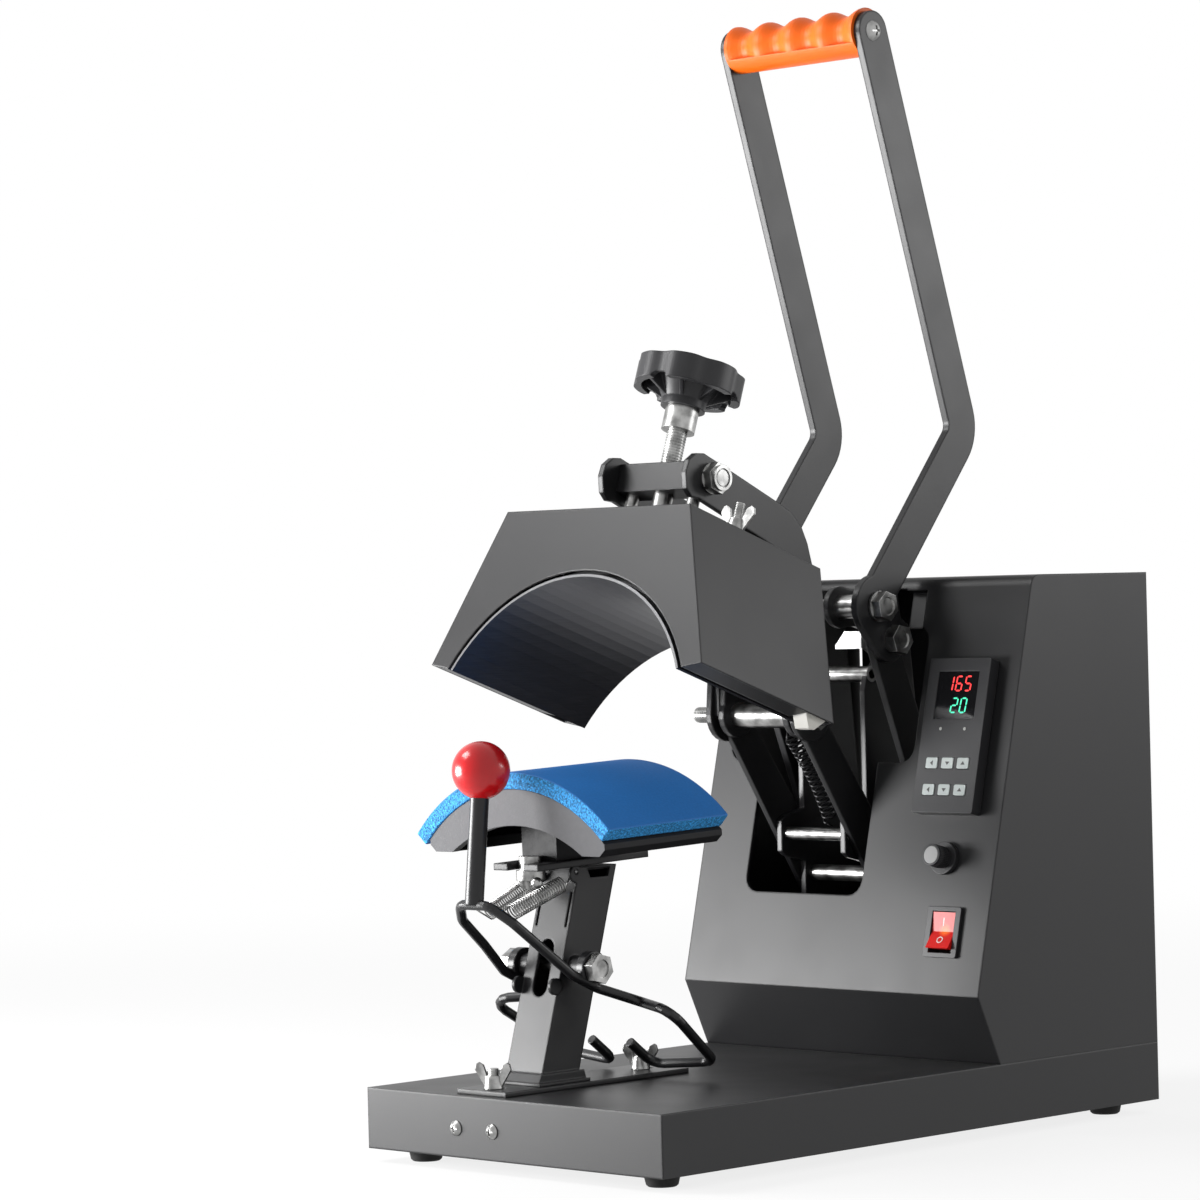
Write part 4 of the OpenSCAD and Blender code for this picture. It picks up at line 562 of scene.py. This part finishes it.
class PRESS_OT_hardware(bpy.types.Operator):
    """Plates the bolts, rods and nuts, and cuts the threads that show"""

    bl_idname = "press.hardware"
    bl_label = "Bolts and threads"

    def below(self, joint_name, up, drop):
        """Place that many millimetres below a joint."""
        return Vector(JOINTS[joint_name]["pos_m"]) - up * drop * MM

    def execute(self, context):
        zinc = bright_zinc()
        dress(ZINC_PARTS, zinc)
        dress(("frame_brace",), bright_zinc("brace_zinc", (0.5, 0.5, 0.5), 0.4))
        left_end = Vector((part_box("cross_shaft")[0].x + 0.8 * MM, *CROSS_SHAFT_YZ))
        screw_pitch = context.scene.press_sizes.screw_pitch / MM
        below = self.below
        threads = (
            ("screw_thread", "screw", below("screw_turn", HEAD_UP, 14.5), HEAD_UP, 21.0, 6.0, screw_pitch),
            ("head_stud_thread", "heater", below("head_nut_turn", HEAD_UP, 3.5), HEAD_UP, 18.0, 3.0, 1.0),
            ("front_stud_thread", "base", below("front_nut_turn", UPWARD, 3.0), UPWARD, 11.5, 3.0, 1.0),
            ("rear_stud_thread", "base", below("rear_nut_turn", UPWARD, 3.0), UPWARD, 11.5, 3.0, 1.0),
            ("cross_shaft_thread", "arm", left_end, RIGHTWARD, 14.5, 4.75, 1.5),
        )
        for name, body, foot, along, length, radius, pitch in threads:
            thread(name, foot, along, length * MM, radius * MM, pitch * MM, body, zinc)
        return {"FINISHED"}


class PRESS_OT_springs(bpy.types.Operator):
    """Winds the black return spring and the two bright springs of the cap lever"""

    bl_idname = "press.springs"
    bl_label = "Springs"

    def wind(self, steps, route, side, radius, wire, turns, sag=0.0):
        """Mesh of a spring along its route, mirrored by side, with the places of its foot and hook."""
        hook, first, last, foot = (Vector((MIDDLE_X + side * x * MM, y * MM, z * MM)) for x, y, z in route)
        curls = helix(first, last, radius, turns, steps, sag)
        return tube_along([hook, *curls, foot], wire / 2), tuple(foot), tuple(hook)

    def execute(self, context):
        look = context.scene.press_finishes
        steps = context.scene.press_sizes.spring_steps
        black = moulded("spring_black", shade(look.coat, 1.1), 0.3, metallic=0.4)
        mesh, foot, hook = self.wind(steps, RETURN_SPRING, 1, 4.45 * MM, 1.6 * MM, 17, -3.0 * MM)
        piece = add_piece("return_spring_wound", mesh, None, "plate_steel", black)
        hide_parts("return_spring")
        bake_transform(piece)
        zinc = bpy.data.materials["bright_zinc"]
        for name, side in (("cap_spring_left", -1), ("cap_spring_right", 1)):
            mesh, foot, hook = self.wind(steps, CAP_SPRING, side, 4.5 * MM, 1.0 * MM, 22)
            piece = add_piece(name + "_wound", mesh, None, "zinc", zinc)
            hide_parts(name)
            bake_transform(piece)
        return {"FINISHED"}


class PRESS_OT_heater(bpy.types.Operator):
    """Finishes the heater's cover, its curved plate and what is behind it"""

    bl_idname = "press.heater"
    bl_label = "Heater head"

    def execute(self, context):
        look = context.scene.press_finishes
        head_front = RIGHTWARD.cross(HEAD_UP)
        dress(("heater_cover",), powder_coat("cover_coat", look.cover, 0.4))
        dress(("heater_plate",), brushed_coat("hot_plate", look.hot_plate, look.bare_lip, head_front))
        dress(("heating_element",), moulded("insulation", (0.55, 0.54, 0.5), 0.6, 500.0, 0.2))
        return {"FINISHED"}


class PRESS_OT_knob(bpy.types.Operator):
    """Finishes the pressure knob"""

    bl_idname = "press.knob"
    bl_label = "Pressure knob"

    def execute(self, context):
        look = context.scene.press_finishes
        dress(("pressure_knob",), moulded("knob_plastic", look.plastic, 0.42, edge=1.2))
        return {"FINISHED"}


class PRESS_OT_grip(bpy.types.Operator):
    """Finishes the orange grip"""

    bl_idname = "press.grip"
    bl_label = "Grip"

    def execute(self, context):
        look = context.scene.press_finishes
        dress(("handle_grip",), moulded("grip_plastic", look.grip, 0.46, 1200.0, 0.08, 1.0))
        return {"FINISHED"}


class PRESS_OT_platen(bpy.types.Operator):
    """Builds the foam pad with its cut edges and finishes the mould below it"""

    bl_idname = "press.platen"
    bl_label = "Platen"

    def mould(self, look):
        """Black plastic with painted light: its arched front-facing end faces are painted a lit grey, and the
        rest is darkened as painted shade.
        """
        finish = Finish("mould_plastic", look.plastic, 0.5, specular_ior_level=0.15)
        along = finish.add("ShaderNodeSeparateXYZ", None, {0: finish.place()}).outputs[1]
        outside = abs(Wire(finish, along) - MOULD_MIDDLE_Y) > 46.5 * MM
        # Mask of the end faces towards the front, which take the painted lit grey
        lit_end_face = (abs(finish.facing(TOWARD_FRONT)) > 0.9) * outside
        scuff = finish.noise(260.0, 4.0)
        # Painted shade: the plastic darkened on all but the end faces, for the shade in the recess and ribs
        plain = finish.mix(scuff, shade(look.plastic, 0.4), shade(look.plastic, 0.7))
        # Painted highlight: the lit grey of the end faces, with random variation
        lit_end_grey = finish.mix(scuff, shade(look.mould, 0.9), shade(look.mould, 1.3))
        finish.set(base_color=finish.mix(lit_end_face, plain, lit_end_grey), roughness=scuff * 0.15 + 0.45)
        return finish.bump(finish.noise(800.0, 3.0), 0.1 * MM, 0.6, finish.round_edges(0.6 * MM)).material

    def arched_pad(self, sizes):
        """Closed pad bent round the platen's axis, its skin first and its cut edges second."""
        cells = columns, rows, layers = 72, 24, 4
        inner = sizes.foam_radius - sizes.foam_thickness
        place = Matrix.Translation(sizes.platen_crown) @ Matrix.Rotation(sizes.platen_tilt, 4, "X")
        mesh = bmesh.new()
        grid = {}
        for spot in itertools.product(*(range(count + 1) for count in cells)):
            if any(step in (0, count) for step, count in zip(spot, cells)):
                column, row, layer = spot
                turn = (2 * column / columns - 1) * sizes.foam_half_angle - sizes.foam_shift
                radius = inner + sizes.foam_thickness * layer / layers
                y = (row / rows - 0.5) * sizes.foam_depth
                grid[spot] = mesh.verts.new(place @ Vector((
                    radius * math.sin(turn), y, radius * math.cos(turn) - sizes.foam_radius)))
        for across, material in ((2, 0), (1, 1), (0, 1)):
            first, second = (axis for axis in range(3) if axis != across)
            for level in (0, cells[across]):
                for low, high in itertools.product(range(cells[first]), range(cells[second])):
                    corners = []
                    for ahead, aside in ((0, 0), (0, 1), (1, 1), (1, 0)):
                        spot = [level] * 3
                        spot[first], spot[second] = low + ahead, high + aside
                        corners.append(grid[tuple(spot)])
                    mesh.faces.new(corners).material_index = material
        bmesh.ops.recalc_face_normals(mesh, faces=mesh.faces)
        return mesh

    def execute(self, context):
        look, sizes = context.scene.press_finishes, context.scene.press_sizes
        pad = add_piece("foam_pad", self.arched_pad(sizes), "platform", "blue_foam",
                        foam_skin(look.foam), foam_cut(look.foam_edge))
        bevelled(pad, 1.1 * MM, 3, 50.0)
        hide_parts("platen_foam")
        dress(("platen_base",), self.mould(look))
        return {"FINISHED"}


class PRESS_OT_lever(bpy.types.Operator):
    """Finishes the cap lever's wire and its red ball"""

    bl_idname = "press.lever"
    bl_label = "Cap lever"

    def execute(self, context):
        look = context.scene.press_finishes
        dress(("cap_lever",), powder_coat("lever_coat", look.coat, 0.32))
        ball = Finish("ball_gloss", look.ball, 0.26, coat_weight=0.25, coat_roughness=0.12)
        cloud = ball.noise(30.0, 3.0)
        ball.set(base_color=ball.mix(cloud, shade(look.ball, 0.85), shade(look.ball, 1.15)),
                 roughness=cloud * 0.08 + 0.2)
        dress(("lever_ball",), ball.material)
        return {"FINISHED"}


# Middle of the controller's face, across and above the fuse, in millimetres
FACE_MIDDLE = (-1.5, 74.8)

# Heights over the panel's plane, in millimetres
FUSE_JOINT_OUT = 8.0
GLASS_FOOT = 7.45
GLASS_THICKNESS = 0.35
KEY_TOP = 8.48

# Segments that each digit lights, lettered clockwise from the top, with g in the middle
SEGMENTS = {
    "0": "abcdef", "1": "bc", "2": "abdeg", "3": "abcdg", "4": "bcfg", "5": "acdfg",
    "6": "acdefg", "7": "abc", "8": "abcdefg", "9": "abcdfg",
}


class PRESS_OT_controller(bpy.types.Operator):
    """Finishes the controller and adds its window, digits, lamps and key marks"""

    bl_idname = "press.controller"
    bl_label = "Controller"

    def spot(self, across, above, out):
        """Plane on the controller's face, in millimetres from the middle of its front."""
        return panel_at("fuse_turn", FACE_MIDDLE[0] + across, FACE_MIDDLE[1] + above, out - FUSE_JOINT_OUT)

    def digits(self, name, text, centre, height, material):
        """Seven-segment digits, centred on a place of the panel."""
        width, bar, lean, spacing = height * 0.5, height * 0.1, 0.1, 1.62
        long, half = width - bar, height / 2
        middles = {"a": (0, half, 0), "g": (0, 0, 0), "d": (0, -half, 0),
                   "f": (-width / 2, half / 2, 1), "b": (width / 2, half / 2, 1),
                   "e": (-width / 2, -half / 2, 1), "c": (width / 2, -half / 2, 1)}
        mesh = bmesh.new()
        for place, digit in enumerate(text):
            shift = (place - (len(text) - 1) / 2) * width * spacing
            for segment in SEGMENTS[digit]:
                x, y, upright = middles[segment]
                reach = (half if upright else long) / 2 - 0.15
                shape = [(-reach, 0), (-reach + bar / 2, -bar / 2), (reach - bar / 2, -bar / 2), (reach, 0),
                         (reach - bar / 2, bar / 2), (-reach + bar / 2, bar / 2)]
                if upright:
                    shape = [(-b, a) for a, b in shape]
                outline = [(x + a + shift + lean * (y + b), y + b) for a, b in shape]
                slab(mesh, outline, 0.12, centre)
        return add_piece(name, mesh, "base", "black_plastic", material, smooth=False)

    def execute(self, context):
        look, sizes = context.scene.press_finishes, context.scene.press_sizes
        dress(BLACK_PLASTIC, moulded("panel_plastic", look.plastic, 0.36, 1500.0, 0.03))
        dress(KEYS, moulded("key_plastic", look.key, 0.45, 900.0, 0.03, 0.5))
        window = Finish("display_window", (0.008, 0.008, 0.009), 0.08, coat_weight=0.3)
        window.set(roughness=window.noise(200.0) * 0.06 + 0.05)
        mesh = bmesh.new()
        slab(mesh, box_outline(31.4, 29.4), GLASS_THICKNESS, self.spot(0.0, 25.0, GLASS_FOOT))
        add_piece("display_glass", mesh, "base", "black_plastic", window.material, smooth=False)
        heat = glowing("heat_digit", look.heat_digits, 1.6)
        time = glowing("time_digit", look.time_digits, 1.1)
        glass = GLASS_FOOT + GLASS_THICKNESS
        self.digits("heat_number", sizes.heat_text, self.spot(1.0, 32.2, glass), sizes.digit_height, heat)
        self.digits("time_number", sizes.time_text, self.spot(2.6, 18.6, glass), sizes.digit_height, time)
        mesh = bmesh.new()
        for across in (-9.0, 10.0):
            slab(mesh, disc_outline(1.0), 0.3, self.spot(across, 4.0, 8.0))
        pale = glowing("lamp", (0.5, 0.5, 0.48), 0.15)
        add_piece("panel_lamps", mesh, "base", "black_plastic", pale, smooth=False)
        ink = moulded("key_ink", (0.05, 0.05, 0.05), 0.5)
        up = [(-1.7, -0.9), (1.7, -0.9), (0.0, 1.3)]
        left, down = [(-y, x) for x, y in up], [(x, -y) for x, y in up][::-1]
        rows, columns = (-17.3, -33.8), (-12.3, 0.0, 12.3)
        places = itertools.product(rows, zip(columns, (left, down, up)))
        for number, (above, (across, arrow)) in enumerate(places, 1):
            mesh = bmesh.new()
            slab(mesh, arrow, 0.06, self.spot(across, above, KEY_TOP))
            add_piece(f"key_mark_{number}", mesh, f"key_body_{number}", "black_plastic", ink, smooth=False)
        return {"FINISHED"}


class PRESS_OT_fuse(bpy.types.Operator):
    """Adds the ribs and the pale disc of the fuse cap"""

    bl_idname = "press.fuse"
    bl_label = "Fuse cap"

    def execute(self, context):
        mesh = bmesh.new()
        slab(mesh, disc_outline(5.4, count=48), 0.3, panel_at("fuse_turn", 0.0, 0.0, 5.95))
        pale = moulded("fuse_disc", (0.3, 0.3, 0.3), 0.5)
        bevelled(add_piece("fuse_disc", mesh, "fuse", "black_plastic", pale), 0.2 * MM)
        mesh = bmesh.new()
        cap_radius, rib_radius, rib_count, rib_foot, rib_height = 6.6, 0.26, 40, -2.6, 7.4
        for centre in disc_outline(cap_radius, count=rib_count):
            foot = panel_at("fuse_turn", 0.0, 0.0, rib_foot)
            slab(mesh, disc_outline(rib_radius, centre, 6), rib_height, foot)
        add_piece("fuse_ribs", mesh, "fuse", "black_plastic", bpy.data.materials["panel_plastic"])
        return {"FINISHED"}


class PRESS_OT_rocker(bpy.types.Operator):
    """Finishes the red rocker and adds its two marks"""

    bl_idname = "press.rocker"
    bl_label = "Rocker switch"

    def execute(self, context):
        look = context.scene.press_finishes
        dress(("rocker_paddle",), lens(look.lens))
        ink = moulded("rocker_ink", (0.75, 0.7, 0.68), 0.4)
        rest_tip, half_rise, half_height, mark_thickness = math.radians(-9.0), 3.0, 11.4, 0.05
        plane = panel_at("rocker_tip", 0.0, 0.0, 0.0) @ Matrix.Rotation(rest_tip, 4, "X")
        slope = math.atan2(half_rise, half_height)
        count = 28
        outer, inner = disc_outline(2.3, count=count), disc_outline(1.6, count=count)
        after = [*range(1, count), 0]
        ring = [[outer[step], outer[after[step]], inner[after[step]], inner[step]] for step in range(count)]
        bar = [box_outline(0.8, 5.0)]
        for name, side, outlines in (("rocker_mark_on", 1, bar), ("rocker_mark_off", -1, ring)):
            spot = plane @ Matrix.Translation(Vector((0.0, side * half_height / 2, 4.12)) * MM)
            mesh = bmesh.new()
            for outline in outlines:
                slab(mesh, outline, mark_thickness, spot @ Matrix.Rotation(side * slope, 4, "X"))
            add_piece(name, mesh, "rocker", "red_lens", ink, smooth=False)
        return {"FINISHED"}


class PRESS_OT_hidden_parts(bpy.types.Operator):
    """Finishes the feet and the parts inside the housing"""

    bl_idname = "press.hidden_parts"
    bl_label = "Feet and inside"

    def execute(self, context):
        dress(("feet",), moulded("foot_rubber", (0.015, 0.015, 0.015), 0.75, 600.0, 0.2))
        dress(("relay", "terminal_block"), moulded("white_plastic", (0.72, 0.72, 0.68), 0.4))
        return {"FINISHED"}


class PRESS_OT_stage(bpy.types.Operator):
    """Builds the floor, the softboxes, the room light and the camera"""

    bl_idname = "press.stage"
    bl_label = "Studio"

    def seen_share(self, finish, share):
        """share on rays from the camera, from gloss and through clear parts, else 0."""
        path = finish.add("ShaderNodeLightPath")
        seen = Wire(finish, path.outputs["Is Camera Ray"])
        for ray in ("Is Glossy Ray", "Is Transmission Ray"):
            seen = seen.math("MAXIMUM", path.outputs[ray])
        return seen * share

    def floor(self, colour):
        """White floor that keeps the shadow near the press and fades out far away."""
        finish = Finish("studio_floor", colour, 0.9)
        finish.set(base_color=finish.mix(finish.noise(3.0), shade(colour, 0.99), shade(colour, 1.01)))
        glow = finish.add("ShaderNodeEmission", None, {"Color": (1.0, 1.0, 1.0), "Strength": 1.0})
        distance = finish.add("ShaderNodeVectorMath", {"operation": "LENGTH"}, {0: finish.place()})
        far = Wire(finish, distance.outputs["Value"]).ramp(0.5, 2.2)
        both = finish.add("ShaderNodeMixShader", None, {
            0: self.seen_share(finish, far * 0.18 + 0.82), 1: finish.shader.outputs[0], 2: glow.outputs[0]})
        finish.put(finish.tree.nodes["Material Output"].inputs[0], both.outputs[0])
        reach = 14.0
        mesh = bmesh.new()
        for x, y in box_outline(2 * reach, 2 * reach):
            mesh.verts.new((x, y, 0.0))
        mesh.faces.new(mesh.verts)
        data = bpy.data.meshes.new("studio_floor")
        mesh.to_mesh(data)
        mesh.free()
        data.materials.append(finish.material)
        floor = bpy.data.objects.new("studio_floor", data)
        bpy.context.scene.collection.objects.link(floor)

    def lamp(self, name, place, target, size, power):
        """Rectangular lamp turned towards its target."""
        data = bpy.data.lights.new(name, "AREA")
        data.shape, data.energy = "RECTANGLE", power
        data.size, data.size_y = size
        lamp = bpy.data.objects.new(name, data)
        lamp.location = place
        lamp.rotation_euler = (Vector(target) - Vector(place)).to_track_quat("-Z", "Y").to_euler()
        bpy.context.scene.collection.objects.link(lamp)

    def camera(self, studio):
        """Camera from its place, heading, rise and roll."""
        yaw, pitch, roll = studio.camera_yaw, studio.camera_pitch, studio.camera_roll
        ahead = Vector((-math.sin(yaw) * math.cos(pitch), math.cos(yaw) * math.cos(pitch), math.sin(pitch)))
        flat = Vector((math.cos(yaw), math.sin(yaw), 0.0))
        above = flat.cross(ahead)
        right = flat * math.cos(roll) + above * math.sin(roll)
        up = above * math.cos(roll) - flat * math.sin(roll)
        data = bpy.data.cameras.new("studio_camera")
        data.lens, data.sensor_width, data.clip_start, data.clip_end = studio.focal, 36.0, 0.05, 60.0
        camera = bpy.data.objects.new("studio_camera", data)
        camera.matrix_world = basis(studio.camera_place, right, up)
        bpy.context.scene.collection.objects.link(camera)
        bpy.context.scene.camera = camera

    def world(self, room):
        """White room to the camera and in gloss, and a dim one on matt surfaces."""
        world = bpy.data.worlds.new("studio_room")
        world.use_nodes = True
        bpy.context.scene.world = world
        sheet = NodeBench(world.node_tree)
        background = world.node_tree.nodes["Background"]
        background.inputs["Color"].default_value = (1.0, 1.0, 1.0, 1.0)
        sheet.put(background.inputs["Strength"], self.seen_share(sheet, 1.0 - room) + room)

    def execute(self, context):
        studio = context.scene.press_studio
        self.floor(studio.floor)
        self.world(studio.room)
        self.lamp("low_softbox", (-0.93, -0.85, 0.2), (0.0, 0.0, 0.12), (0.62, 0.4), studio.softbox)
        self.lamp("high_softbox", (-0.75, -0.75, 1.2), (0.0, -0.1, 0.35), (0.6, 0.4), studio.fill)
        self.lamp("side_softbox", (1.3, 1.45, 0.75), (0.0, 0.1, 0.3), (0.8, 0.5), studio.side)
        self.camera(studio)
        context.scene.view_settings.view_transform = "Standard"
        return {"FINISHED"}


class PRESS_PT_looks(bpy.types.Panel):
    """Lists the steps that dress the press"""

    bl_idname = "PRESS_PT_looks"
    bl_label = "Heat press"
    bl_space_type = "VIEW_3D"
    bl_region_type = "UI"
    bl_category = "Heat press"

    def draw(self, context):
        for step in STEPS:
            self.layout.operator(step.bl_idname)


STEPS = (PRESS_OT_stage, PRESS_OT_sheet_metal, PRESS_OT_hardware, PRESS_OT_springs, PRESS_OT_heater,
         PRESS_OT_knob, PRESS_OT_grip, PRESS_OT_platen, PRESS_OT_lever, PRESS_OT_controller, PRESS_OT_fuse,
         PRESS_OT_rocker, PRESS_OT_hidden_parts)
GROUPS = {"press_finishes": PressFinishes, "press_sizes": PressSizes, "press_studio": PressStudio}


def register():
    for group in GROUPS.values():
        bpy.utils.register_class(group)
    for name, group in GROUPS.items():
        setattr(bpy.types.Scene, name, PointerProperty(type=group))
    for step in (*STEPS, PRESS_PT_looks):
        bpy.utils.register_class(step)


def unregister():
    for step in (PRESS_PT_looks, *reversed(STEPS)):
        bpy.utils.unregister_class(step)
    for name in GROUPS:
        delattr(bpy.types.Scene, name)
    for group in reversed(tuple(GROUPS.values())):
        bpy.utils.unregister_class(group)


def main():
    register()
    for step in STEPS:
        family, name = step.bl_idname.split(".")
        getattr(getattr(bpy.ops, family), name)()


if __name__ == "__main__":
    main()
